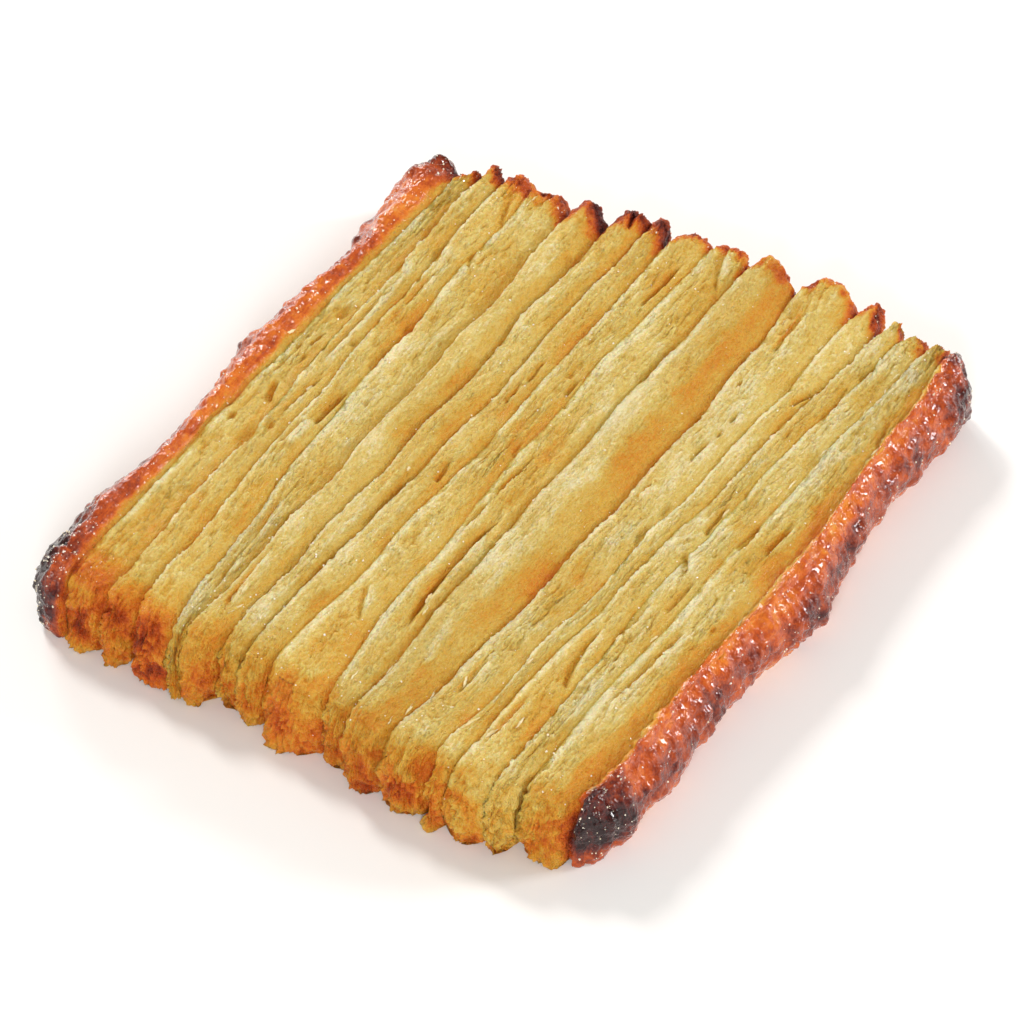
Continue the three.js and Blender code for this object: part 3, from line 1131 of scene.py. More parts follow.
@dataclass
class Skin:
    """A closed mesh under construction: its points, their values, and its faces with their map places."""

    points: list[Array] = field(default_factory=list)
    faces: list[Array] = field(default_factory=list)
    maps: list[Array] = field(default_factory=list)
    count: int = 0

    def add_points(self, points: Array) -> Array:
        """Adds points given as rows, and returns their numbers in the same layout."""
        flat = points.reshape(-1, 3)
        self.points.append(flat)
        numbers = np.arange(self.count, self.count + len(flat)).reshape(points.shape[:-1])
        self.count += len(flat)
        return numbers

    def add_faces(self, faces: Array, places: Array) -> None:
        """Adds faces, as rows of point numbers, with a map place for each of their corners."""
        self.faces.append(faces)
        self.maps.append(places)

    def add_grid(self, numbers: Array, u: Array, v: Array, wrap: bool = False) -> None:
        """Adds the squares of a grid of points.

        Args:
            numbers: the grid's point numbers, row by row.
            u: the map place of each column, with one more value than columns where the rows close.
            v: the map place of each row.
            wrap: True where each row closes on itself.
        """
        if wrap:
            numbers = np.concatenate([numbers, numbers[:, :1]], axis=1)
        faces = np.stack([numbers[:-1, :-1], numbers[:-1, 1:], numbers[1:, 1:], numbers[1:, :-1]], axis=-1)
        u_grid, v_grid = np.meshgrid(u, v)
        places = np.stack([u_grid, v_grid], axis=-1)
        corners = np.stack([places[:-1, :-1], places[:-1, 1:], places[1:, 1:], places[1:, :-1]], axis=-2)
        self.add_faces(faces.reshape(-1, 4), corners.reshape(-1, 4, 2))

    def zip_edges(self, one: Array, other: Array, place: Pair) -> None:
        """Joins two edges that run side by side, with any number of points each, by triangles.

        Args:
            one: the point numbers along the first edge.
            other: the point numbers along the second edge, in the same direction.
            place: where these narrow faces lie on the map.
        """
        faces = []
        i = j = 0
        while i < len(one) - 1 or j < len(other) - 1:
            next_one = (i + 1) / max(1, len(one) - 1)
            next_other = (j + 1) / max(1, len(other) - 1)
            if j == len(other) - 1 or (i < len(one) - 1 and next_one <= next_other):
                faces.append((one[i], one[i + 1], other[j]))
                i += 1
            else:
                faces.append((one[i], other[j + 1], other[j]))
                j += 1
        self.add_faces(np.array(faces), np.tile(np.array(place), (len(faces), 3, 1)))

    def all_points(self) -> Array:
        """Every point, as rows."""
        return np.concatenate(self.points)

    def normals(self, points: Array) -> Array:
        """Works out which way the surface faces at each point, from the faces around it.

        Args:
            points: where the points lie now, as rows.

        Returns:
            One direction for each point.
        """
        total = np.zeros_like(points)
        for faces in self.faces:
            first, second, third = (points[faces[:, corner]] for corner in (0, 1, 2))
            last = points[faces[:, -1]]
            face_normals = np.cross(third - first, last - second)
            if faces.shape[1] == 3:
                face_normals = np.cross(second - first, third - first)
            for corner in range(faces.shape[1]):
                for axis in range(3):
                    total[:, axis] += np.bincount(faces[:, corner], face_normals[:, axis], len(points))
        return total / np.maximum(1e-12, np.linalg.norm(total, axis=1, keepdims=True))

    def to_object(
        self, name: str, points: Array, values: dict[str, Array], on_seam: Array | None = None
    ) -> Piece:
        """Makes the piece.

        Args:
            name: the piece's name.
            points: the final points, in millimetres.
            values: named values, one for each point, or a row of three for a vector.
            on_seam: True for the points where the piece meets another, which keep a sharp edge between them.

        Returns:
            The object, linked into the scene.
        """
        mesh = bpy.data.meshes.new(name)
        corner_counts = np.concatenate([np.full(len(faces), faces.shape[1]) for faces in self.faces])
        corners = np.concatenate([faces.ravel() for faces in self.faces])
        mesh.vertices.add(len(points))
        mesh.vertices.foreach_set("co", (points * MM).astype(np.float32).ravel())
        mesh.loops.add(len(corners))
        mesh.loops.foreach_set("vertex_index", corners.astype(np.int32))
        mesh.polygons.add(len(corner_counts))
        starts = np.concatenate([[0], np.cumsum(corner_counts)[:-1]])
        mesh.polygons.foreach_set("loop_start", starts.astype(np.int32))
        mesh.update(calc_edges=True)
        mesh.polygons.foreach_set("use_smooth", np.ones(len(corner_counts), dtype=bool))
        layer = mesh.uv_layers.new(name="OFBake")
        places = np.concatenate([place.reshape(-1, 2) for place in self.maps])
        layer.data.foreach_set("uv", places.astype(np.float32).ravel())
        for label, value in values.items():
            kind, key = ("FLOAT", "value") if value.ndim == 1 else ("FLOAT_VECTOR", "vector")
            attribute = mesh.attributes.new(label, kind, "POINT")
            attribute.data.foreach_set(key, value.astype(np.float32).ravel())
        mesh.validate()
        if on_seam is not None:
            ends = np.empty(2 * len(mesh.edges), dtype=np.int32)
            mesh.edges.foreach_get("vertices", ends)
            sharp = mesh.attributes.new("sharp_edge", "BOOLEAN", "EDGE")
            sharp.data.foreach_set("value", on_seam[ends.reshape(-1, 2)].all(axis=1))
        piece = bpy.data.objects.new(name, mesh)
        bpy.context.scene.collection.objects.link(piece)
        return piece


@dataclass
class Leaf:
    """One fold of the slab as a closed skin: a tube of rings along the fold, and a cap on each end.

    column_width, row_length: how far apart the skin's points lie on the top.
    row_crowding: how much closer the rows lie at the ends.
    hidden_levels: the levels of a wall that the next fold hides.
    cap_gap: how far the last ring stays short of the cap, as a share of the half length.
    map_strips, cap_map_height: how the baking map is shared out.
    map_margin, hidden_map_share: the room left between its parts, and what a hidden face gets of its width.
    centre_shift: what moves the slab's middle onto the frame's.
    ground_height: how high the open surface begins that flakes and grains can lie on.
    """

    index: int
    surface: DoughSurface
    column_width: float = 0.18
    row_length: float = 0.28
    row_crowding: float = 0.25
    hidden_levels: tuple[float, ...] = (0.0, 0.15, 0.8)
    glazed_level_count: int = 44
    cap_level_count: int = 38
    base_columns: int = 4
    cap_gap: float = 0.002
    map_strips: int = 3
    cap_map_height: float = 0.09
    map_margin: float = 0.01
    hidden_map_share: float = 0.15
    centre_shift: Pair = (0.081, 0.446)
    ground_height: float = 1.5

    def _column_count(self) -> int:
        """How many columns the fold's top takes, from its greatest width."""
        y = np.linspace(-self.surface.form.half_length, self.surface.form.half_length, 9)
        form = self.surface.form
        width = form.fold_start(self.index + 1, y, 0.0) - form.fold_start(self.index, y, 0.0)
        return int(math.ceil(width.max() / self.column_width))

    def _wall_levels(self, is_side: bool) -> Array:
        """The levels of a wall below the top: many on a glazed side, few on a hidden one."""
        if is_side:
            return np.linspace(0.0, 1.0, self.glazed_level_count, endpoint=False)
        return np.array(self.hidden_levels)

    def _place(self, share: Array, along: Array, level: Array, is_base: Array, is_cap: Array) -> Place:
        """Works out where points of the skin lie before the relief.

        Args:
            share: the place across the fold.
            along: the place along the fold, from -1 at the near end to 1 at the far end.
            level: the place up the walls, from 0 at the base to 1 at the top.
            is_base: True on the underside.
            is_cap: True on the end faces.

        Returns:
            The points with what the relief and the browning need to know of them.
        """
        form = self.surface.form
        share, along, level, is_base, is_cap = np.broadcast_arrays(share, along, level, is_base, is_cap)
        reaches = [form.end_reach(self.index, share, end) for end in End]
        reach = np.where(along > 0, reaches[1], reaches[0])
        edge = reach - form.end_wall_inset(level, along)
        shift = edge - form.half_length
        y = form.half_length * along + shift * np.sign(along) * along**form.end_stretch_power
        inside_edge = edge - np.abs(y)
        side_inset = form.wall_inset(level, form.side_inset, form.side_sharpness)
        start = form.fold_start(self.index, y, side_inset)
        stop = form.fold_start(self.index + 1, y, side_inset)
        x = mix(start, stop, share)
        inside_end = reach - np.abs(y)
        top = form.top_height(self.index, share, y, inside_end)
        z = mix(form.underside_height(self.index, share, y), top, level)
        edges = form.mid_creases()
        across = mix(edges[self.index], edges[self.index + 1], share)
        down = np.where(is_cap, top - z, 0.0)
        along_mm = y + np.sign(along) * down
        glaze = self.surface.glaze(self.index, share, along_mm)
        x = x - self.surface.lean(self.index, share, level, y, inside_end)
        z = z + self._base_lift(share, level, x, y, inside_end)
        x, y = form.round_corner(x, y, reach)
        hidden = self._hidden(share, level) & ~is_cap
        points = np.stack([x + self.centre_shift[0], y + self.centre_shift[1], z], axis=-1)
        return Place(
            points=points,
            share=share,
            level=level,
            across=across,
            along=along_mm,
            inside_end=inside_edge - down,
            glaze=glaze,
            is_base=is_base,
            is_cap=is_cap,
            shown=np.where(hidden, 0.0, 1.0),
        )

    def _base_lift(self, share: Array, level: Array, x: Array, y: Array, inside_end: Array) -> Array:
        """How far the ragged lower edge of the slab stands clear of the tray.

        Args:
            share: the place across the fold.
            level: the place up the walls.
            x: the place across the slab.
            y: the place along the slab.
            inside_end: how far the place lies inside the nearer end.

        Returns:
            The lift of each point.
        """
        form = self.surface.form
        edge = smooth_step(form.base_lift_length, 0.0, inside_end)
        if self.index == 0:
            edge = np.maximum(edge, smooth_step(0.4, 0.0, share))
        if self.index == LAST:
            edge = np.maximum(edge, smooth_step(0.6, 1.0, share))
        waves = sum(part.at(self.surface.noise, x, y) for part in form.base_waves)
        return form.base_lift * edge * np.clip(0.4 + 0.6 * waves, 0.0, 1.0) * (1.0 - level) ** 5

    def _on_seam(self, share: Array) -> Array:
        """True where the fold meets the next one."""
        left = (share == 0.0) & (self.index > 0)
        right = (share == 1.0) & (self.index < LAST)
        return left | right

    def _hidden(self, share: Array, level: Array) -> Array:
        """True on the walls that stand against the next fold."""
        return self._on_seam(share) & (level < 1.0)

    def _directions(self, place: Place, normals: Array) -> Array:
        """Which way the relief moves each point: along its normal, and one way for both folds on a crease.

        Args:
            place: where the points lie.
            normals: the directions that the plain form faces there.

        Returns:
            One direction for each point.
        """
        is_left, away = self.surface.form.away_from_crest(self.index, place.share)
        has_neighbour = np.where(is_left, self.index > 0, self.index < LAST)
        near_crease = smooth_step(0.7, 1.0, away) * has_neighbour * ~place.is_base
        outward = np.sign(place.points[..., 1]) * smooth_step(2.0, 0.0, place.inside_end)
        upward = np.where(place.is_cap, smooth_step(0.8, 1.0, place.level), 1.0)
        common = np.stack([np.zeros_like(outward), outward, upward], axis=-1)
        common /= np.maximum(1e-9, np.linalg.norm(common, axis=-1, keepdims=True))
        blend = mix(normals, common, near_crease[:, None])
        return blend / np.maximum(1e-9, np.linalg.norm(blend, axis=-1, keepdims=True))

    def _map_u(self, ring_points: Array, hidden: Array) -> Array:
        """Where a ring's columns lie across the map, with little room for what is hidden."""
        steps = np.linalg.norm(np.diff(np.vstack([ring_points, ring_points[:1]]), axis=0), axis=1)
        steps = steps * np.where(hidden, self.hidden_map_share, 1.0)
        total = np.concatenate([[0.0], np.cumsum(steps)])
        return total / total[-1]

    def build(self) -> tuple[Piece, "Ground"]:
        """Builds the fold.

        Returns:
            The object, and the part of its surface that other things can lie on.
        """
        skin = Skin()
        tops = np.linspace(0.0, 1.0, self._column_count() + 1)
        left = self._wall_levels(self.index == 0)
        right = self._wall_levels(self.index == LAST)[::-1]
        base = np.linspace(1.0, 0.0, self.base_columns + 2)[1:-1]
        share = np.concatenate([np.zeros(len(left)), tops, np.ones(len(right)), base])
        level = np.concatenate([left, np.ones(len(tops)), right, np.zeros(len(base))])
        is_base = np.arange(len(share)) >= len(share) - len(base)
        rows = int(2 * self.surface.form.half_length / self.row_length)
        even = np.linspace(-1.0, 1.0, rows + 1)
        along = (even * (1 + self.row_crowding) - self.row_crowding * even**3) * (1 - self.cap_gap)
        body = self._place(share[None, :], along[:, None], level[None, :], is_base[None, :], np.array(False))
        rings = skin.add_points(body.points)
        self._map_body(skin, rings, body.points, self._hidden(share, level) | is_base)
        places = [body]
        for end in End:
            places.append(self._build_cap(skin, rings, end, tops, len(left), len(right)))
        flat = self._join(places)
        points = skin.all_points()
        normals = skin.normals(points)
        marks = self.surface.marks(self.index, flat)
        rise = self.surface.rise(flat, marks)
        final = points + self._directions(flat, normals) * rise[:, None]
        final[:, 2] = np.maximum(final[:, 2], 0.0)
        # The browning carries painted shade and painted light as well as the crust's own colour.
        toast = self.surface.toast(self.index, flat, marks, rise)
        grain = np.stack([flat.across, flat.along, np.zeros(len(points))], axis=-1)
        values = {"toast": toast, "glaze": flat.glaze, "dough_grain": grain}
        on_seam = self._on_seam(flat.share) & ((flat.level >= 1.0) | flat.is_cap)
        piece = skin.to_object(f"pastry_fold_{self.index + 1:02d}", final, values, on_seam)
        is_open = (flat.shown > 0) & ~flat.is_base & (flat.points[:, 2] > self.ground_height)
        lip = marks.lip * (flat.inside_end > 1.0) * (flat.level >= 1.0) * (1.0 - flat.glaze)
        ground = Ground(final[is_open], skin.normals(final)[is_open], flat.glaze[is_open], lip[is_open])
        return piece, ground

    def _map_body(self, skin: Skin, rings: Array, points: Array, hidden: Array) -> None:
        """Adds the faces between the rings, mapped in strips that lie side by side.

        Args:
            skin: the mesh under construction.
            rings: the rings' point numbers.
            points: the rings' points.
            hidden: True for the columns that nothing shows of.
        """
        middle = points[len(points) // 2]
        u = self._map_u(middle, hidden)
        row_edges = np.linspace(0, len(rings) - 1, self.map_strips + 1).astype(int)
        margin = self.map_margin
        foot, head = self.cap_map_height + 2 * margin, 1 - margin / 2
        for strip, (first, last) in enumerate(zip(row_edges[:-1], row_edges[1:])):
            columns = (strip + margin + (1 - 2 * margin) * u) / self.map_strips
            heights = np.linspace(foot, head, last - first + 1)
            skin.add_grid(rings[first : last + 1], columns, heights, wrap=True)

    def _build_cap(self, skin: Skin, rings: Array, end: End, tops: Array, left: int, right: int) -> Place:
        """Adds one end face and joins it to the last ring.

        Args:
            skin: the mesh under construction.
            rings: the point numbers of the tube's rings.
            end: which end.
            tops: the shares of the top's columns.
            left: how many points of a ring lie on the left wall.
            right: how many points of a ring lie on the right wall.

        Returns:
            Where the end face's points lie.
        """
        sign = 1.0 if end is End.FAR else -1.0
        levels = np.linspace(0.0, 1.0, self.cap_level_count)
        place = self._place(tops[None, :], np.array(sign), levels[:, None], np.array(False), np.array(True))
        grid = skin.add_points(place.points)
        ring = rings[-1 if end is End.FAR else 0]
        top_start, top_stop = left, left + len(tops)
        edges = (
            (ring[: top_start + 1], grid[:, 0]),
            (ring[top_start:top_stop], grid[-1]),
            (ring[top_stop - 1 : top_stop + right], grid[::-1, -1]),
            (np.append(ring[top_stop + right - 1 :], ring[0]), grid[0, ::-1]),
        )
        u = np.linspace(self.map_margin, 0.5 - 2 * self.map_margin, len(tops)) + end.value / 2
        v = np.linspace(self.map_margin, self.cap_map_height, len(levels))
        for along_ring, along_cap in edges:
            if end is End.FAR:
                skin.zip_edges(along_ring, along_cap, (u[0], v[0]))
            else:
                skin.zip_edges(along_cap, along_ring, (u[0], v[0]))
        if end is End.FAR:
            skin.add_grid(grid[:, ::-1], u[::-1], v)
        else:
            skin.add_grid(grid, u, v)
        return place

    @staticmethod
    def _join(places: list[Place]) -> Place:
        """Joins the places of the skin's parts into one flat list, in the order of its points."""
        names = ("share", "level", "across", "along", "inside_end", "glaze", "is_base", "is_cap", "shown")
        points = np.concatenate([place.points.reshape(-1, 3) for place in places])
        parts = {name: np.concatenate([getattr(place, name).ravel() for place in places]) for name in names}
        return Place(points=points, **parts)


@dataclass
class Ground:
    """Open surface that flakes and grains can lie on: its points, normals, glaze and pale lips, as rows."""

    points: Array
    normals: Array
    glaze: Array
    lip: Array

    @staticmethod
    def joined(parts: list["Ground"]) -> "Ground":
        """Several grounds as one."""
        names = ("points", "normals", "glaze", "lip")
        return Ground(*(np.concatenate([getattr(part, name) for part in parts]) for name in names))


@dataclass(frozen=True)
class Cloud:
    """Noise in a finish: how many features it has in a unit of each axis, how much detail, and how rough."""

    scale: Triple
    detail: float
    roughness: float = 0.55


class NodeBoard:
    """A material's nodes, added and joined one after another."""

    def __init__(self, name: str) -> None:
        """Makes an empty material with its shader and its output."""
        self.material = bpy.data.materials.new(name)
        self.material.use_nodes = True
        self.tree = self.material.node_tree
        self.tree.nodes.clear()
        self.shader = self.add("ShaderNodeBsdfPrincipled")
        output = self.add("ShaderNodeOutputMaterial")
        self.tree.links.new(self.shader.outputs["BSDF"], output.inputs["Surface"])

    def add(self, kind: str, **settings: object) -> bpy.types.Node:
        """Adds one node and sets what is named."""
        node = self.tree.nodes.new(kind)
        for name, value in settings.items():
            setattr(node, name, value)
        return node

    def join(self, source: Socket | float, target: Socket) -> None:
        """Joins an output to an input, or sets the input to a number."""
        if isinstance(source, Socket):
            self.tree.links.new(source, target)
        else:
            target.default_value = source

    def attribute(self, name: str, output: str = "Fac") -> Socket:
        """The values that the mesh carries under a name."""
        return self.add("ShaderNodeAttribute", attribute_name=name).outputs[output]

    def place(self) -> Socket:
        """Where a point lies in its own piece, in metres."""
        return self.add("ShaderNodeTexCoord").outputs["Object"]

    def scaled(self, vector: Socket, scale: Triple) -> Socket:
        """A vector with each of its parts scaled."""
        node = self.add("ShaderNodeVectorMath", operation="MULTIPLY")
        self.join(vector, node.inputs[0])
        node.inputs[1].default_value = scale
        return node.outputs[0]

    def noise(self, vector: Socket, cloud: "Cloud") -> Socket:
        """Adds cloudy noise.

        Args:
            vector: the place that it is worked out from.
            cloud: how fine and how rough it is.

        Returns:
            The noise, from 0 to 1.
        """
        scaled = self.scaled(vector, cloud.scale)
        node = self.add("ShaderNodeTexNoise")
        node.inputs["Scale"].default_value = 1.0
        node.inputs["Detail"].default_value = cloud.detail
        node.inputs["Roughness"].default_value = cloud.roughness
        self.join(scaled, node.inputs["Vector"])
        return node.outputs["Fac"]

    def math(self, operation: str, first: Socket | float, second: Socket | float) -> Socket:
        """The result of one sum."""
        node = self.add("ShaderNodeMath", operation=operation)
        self.join(first, node.inputs[0])
        self.join(second, node.inputs[1])
        return node.outputs[0]

    def around(self, noise: Socket, swing: float) -> Socket:
        """Noise turned into a change of up to about swing either way."""
        return self.math("MULTIPLY", self.math("SUBTRACT", noise, 0.5), 2.0 * swing)

    def total(self, *parts: Socket) -> Socket:
        """The sum of several values."""
        result = parts[0]
        for part in parts[1:]:
            result = self.math("ADD", result, part)
        return result

    def ramp(self, value: Socket, stops: Stops) -> Socket:
        """Adds a scale of colours.

        Args:
            value: the place on the scale.
            stops: places from 0 to 1 with their screen colours from 0 to 255.

        Returns:
            The colour at the value's place.
        """
        node = self.add("ShaderNodeValToRGB")
        elements = node.color_ramp.elements
        while len(elements) < len(stops):
            elements.new(0.5)
        for element, (position, colour) in zip(elements, stops):
            element.position = position
            element.color = (*screen_colour(colour), 1.0)
        self.join(value, node.inputs["Fac"])
        return node.outputs["Color"]

    def bump(self, height: Socket, distance: float, below: Socket | None = None) -> Socket:
        """Adds fine relief.

        Args:
            height: its shape, from 0 to 1.
            distance: how high it is, in millimetres.
            below: the relief that is already there.

        Returns:
            The normal of both together.
        """
        node = self.add("ShaderNodeBump")
        node.inputs["Distance"].default_value = distance * MM
        self.join(height, node.inputs["Height"])
        if below is not None:
            self.join(below, node.inputs["Normal"])
        return node.outputs["Normal"]


def screen_colour(colour: Colour) -> Colour:
    """A screen colour from 0 to 255 as the linear values that Blender takes."""
    shares = (channel / 255.0 for channel in colour)
    return tuple(((s + 0.055) / 1.055) ** 2.4 if s > 0.04045 else s / 12.92 for s in shares)


@dataclass(frozen=True)
class CrustFinish:
    """Baked dough from pale to burnt, dry on top and glossy where sugar has caramelised.

    stops: the crust's colour from pale, 0, to burnt, 1.
    streaks, specks, mottling: the fine changes of browning, along the layers and in spots, and their swing.
    grease, greasy: where the dry dough is more or less dull, and by how much.
    fibres, crumbs, lumps: the finest relief of the dough and of the glaze, with their heights in millimetres.
    shine, wetness, wet_roughness: the gloss of the dough, and how much and how clear the glaze's own is.
    subsurface, glaze_subsurface: how much light the dough lets in, and what the glaze adds to it.
    """

    stops: Stops = (
        (0.0, (246, 233, 186)),
        (0.16, (226, 200, 114)),
        (0.3, (219, 175, 74)),
        (0.42, (221, 152, 48)),
        (0.56, (218, 118, 34)),
        (0.68, (190, 81, 26)),
        (0.8, (138, 51, 22)),
        (0.9, (84, 23, 18)),
        (1.0, (36, 9, 10)),
    )
    streaks: Cloud = Cloud((2.6, 0.5, 1.0), 4.0, 0.65)
    specks: Cloud = Cloud((2.6, 2.6, 2.6), 3.0, 0.7)
    mottling: float = 0.14
    grease: Cloud = Cloud((1.9, 1.9, 1.9), 2.0, 0.6)
    greasy: float = 0.3
    dry_roughness: float = 0.33
    glazed_roughness: float = 0.08
    fibres: Cloud = Cloud((4.0, 1.2, 1.0), 2.0, 0.65)
    fibre_height: float = 0.66
    crumbs: Cloud = Cloud((3.4, 3.4, 3.4), 2.0, 0.65)
    crumb_height: float = 0.32
    lumps: Cloud = Cloud((1.3, 1.3, 1.3), 1.5, 0.5)
    lump_height: float = 0.5
    shine: float = 0.2
    wetness: float = 0.5
    wet_roughness: float = 0.03
    subsurface: float = 0.5
    glaze_subsurface: float = -0.4
    subsurface_depth: float = 1.2
    subsurface_reach: Triple = (1.0, 0.55, 0.25)

    def material(self) -> Material:
        """Makes the material."""
        board = NodeBoard("baked_crust")
        inputs = board.shader.inputs
        grain = board.attribute("dough_grain", "Vector")
        place = board.scaled(board.place(), (1 / MM, 1 / MM, 1 / MM))
        glaze = board.attribute("glaze")
        streaks = board.around(board.noise(grain, self.streaks), self.mottling)
        specks = board.around(board.noise(place, self.specks), self.mottling)
        # The mesh's browning value holds painted shade in creases and low places and painted light on raised
        # ones, as well as the crust's real browning.
        toast = board.total(board.attribute("toast"), streaks, specks)
        board.join(board.ramp(toast, self.stops), inputs["Base Color"])
        grease = board.around(board.noise(place, self.grease), self.greasy)
        bare = board.math("SUBTRACT", 1.0, glaze)
        dullness = board.math("ADD", grease, self.dry_roughness - self.glazed_roughness)
        dullness = board.math("MULTIPLY", dullness, bare)
        board.join(board.math("ADD", dullness, self.glazed_roughness), inputs["Roughness"])
        fibres = board.math("MULTIPLY", board.noise(grain, self.fibres), bare)
        crumbs = board.math("MULTIPLY", board.noise(place, self.crumbs), bare)
        lumps = board.math("MULTIPLY", board.noise(place, self.lumps), glaze)
        normal = board.bump(fibres, self.fibre_height)
        normal = board.bump(crumbs, self.crumb_height, normal)
        normal = board.bump(lumps, self.lump_height, normal)
        board.join(normal, inputs["Normal"])
        depth = board.math("ADD", board.math("MULTIPLY", glaze, self.glaze_subsurface), self.subsurface)
        board.join(depth, inputs["Subsurface Weight"])
        inputs["Subsurface Radius"].default_value = self.subsurface_reach
        inputs["Subsurface Scale"].default_value = self.subsurface_depth * MM
        inputs["Specular IOR Level"].default_value = self.shine
        board.join(board.math("MULTIPLY", glaze, self.wetness), inputs["Coat Weight"])
        inputs["Coat Roughness"].default_value = self.wet_roughness
        return board.material


@dataclass(frozen=True)
class SugarFinish:
    """Grains of sugar that haven't melted: white and glassy. On the glazed rims their white also stands in for
    glints, as painted highlights.
    """

    stops: Stops = ((0.3, (255, 240, 205)), (0.7, (255, 250, 236)))
    clouding: Cloud = Cloud((900.0, 900.0, 900.0), 1.0)
    roughness: float = 0.12
    shine: float = 0.8

    def material(self) -> Material:
        """Makes the material."""
        board = NodeBoard("sugar_grain")
        inputs = board.shader.inputs
        cloudy = board.noise(board.place(), self.clouding)
        board.join(board.ramp(cloudy, self.stops), inputs["Base Color"])
        inputs["Roughness"].default_value = self.roughness
        inputs["Specular IOR Level"].default_value = self.shine
        return board.material


@dataclass(frozen=True)
class FlakeFinish:
    """Paper-thin torn dough: pale cream to gold, and a little light comes through."""

    stops: Stops = ((0.3, (240, 224, 176)), (0.7, (226, 198, 122)))
    browning: Cloud = Cloud((800.0, 800.0, 800.0), 2.0)
    roughness: float = 0.4
    subsurface: float = 0.3
    subsurface_depth: float = 0.5
    subsurface_reach: Triple = (1.0, 0.8, 0.5)

    def material(self) -> Material:
        """Makes the material."""
        board = NodeBoard("torn_flake")
        inputs = board.shader.inputs
        board.join(board.ramp(board.noise(board.place(), self.browning), self.stops), inputs["Base Color"])
        inputs["Roughness"].default_value = self.roughness
        inputs["Subsurface Weight"].default_value = self.subsurface
        inputs["Subsurface Radius"].default_value = self.subsurface_reach
        inputs["Subsurface Scale"].default_value = self.subsurface_depth * MM
        return board.material


@dataclass(frozen=True)
class FloorFinish:
    """A plain pale floor."""

    colour: Colour = (250, 250, 250)
    roughness: float = 0.7

    def material(self) -> Material:
        """Makes the material."""
        board = NodeBoard("pale_floor")
        board.shader.inputs["Base Color"].default_value = (*screen_colour(self.colour), 1.0)
        board.shader.inputs["Roughness"].default_value = self.roughness
        return board.material


@dataclass
class PastrySlab:
    """The whole pastry: its folds, from the left glazed side to the right one."""

    surface: DoughSurface = DoughSurface()
    finish: CrustFinish = CrustFinish()
    pieces: list[Piece] = field(default_factory=list)
    grounds: list[Ground] = field(default_factory=list)

    def build(self) -> None:
        """Builds every fold and keeps the open part of its surface."""
        for index in range(len(FOLDS)):
            piece, ground = Leaf(index, self.surface).build()
            self.pieces.append(piece)
            self.grounds.append(ground)

    def dress(self) -> None:
        """Gives the folds their crust and ties them to the solid that they stand for."""
        settle(self.pieces, self.finish.material())


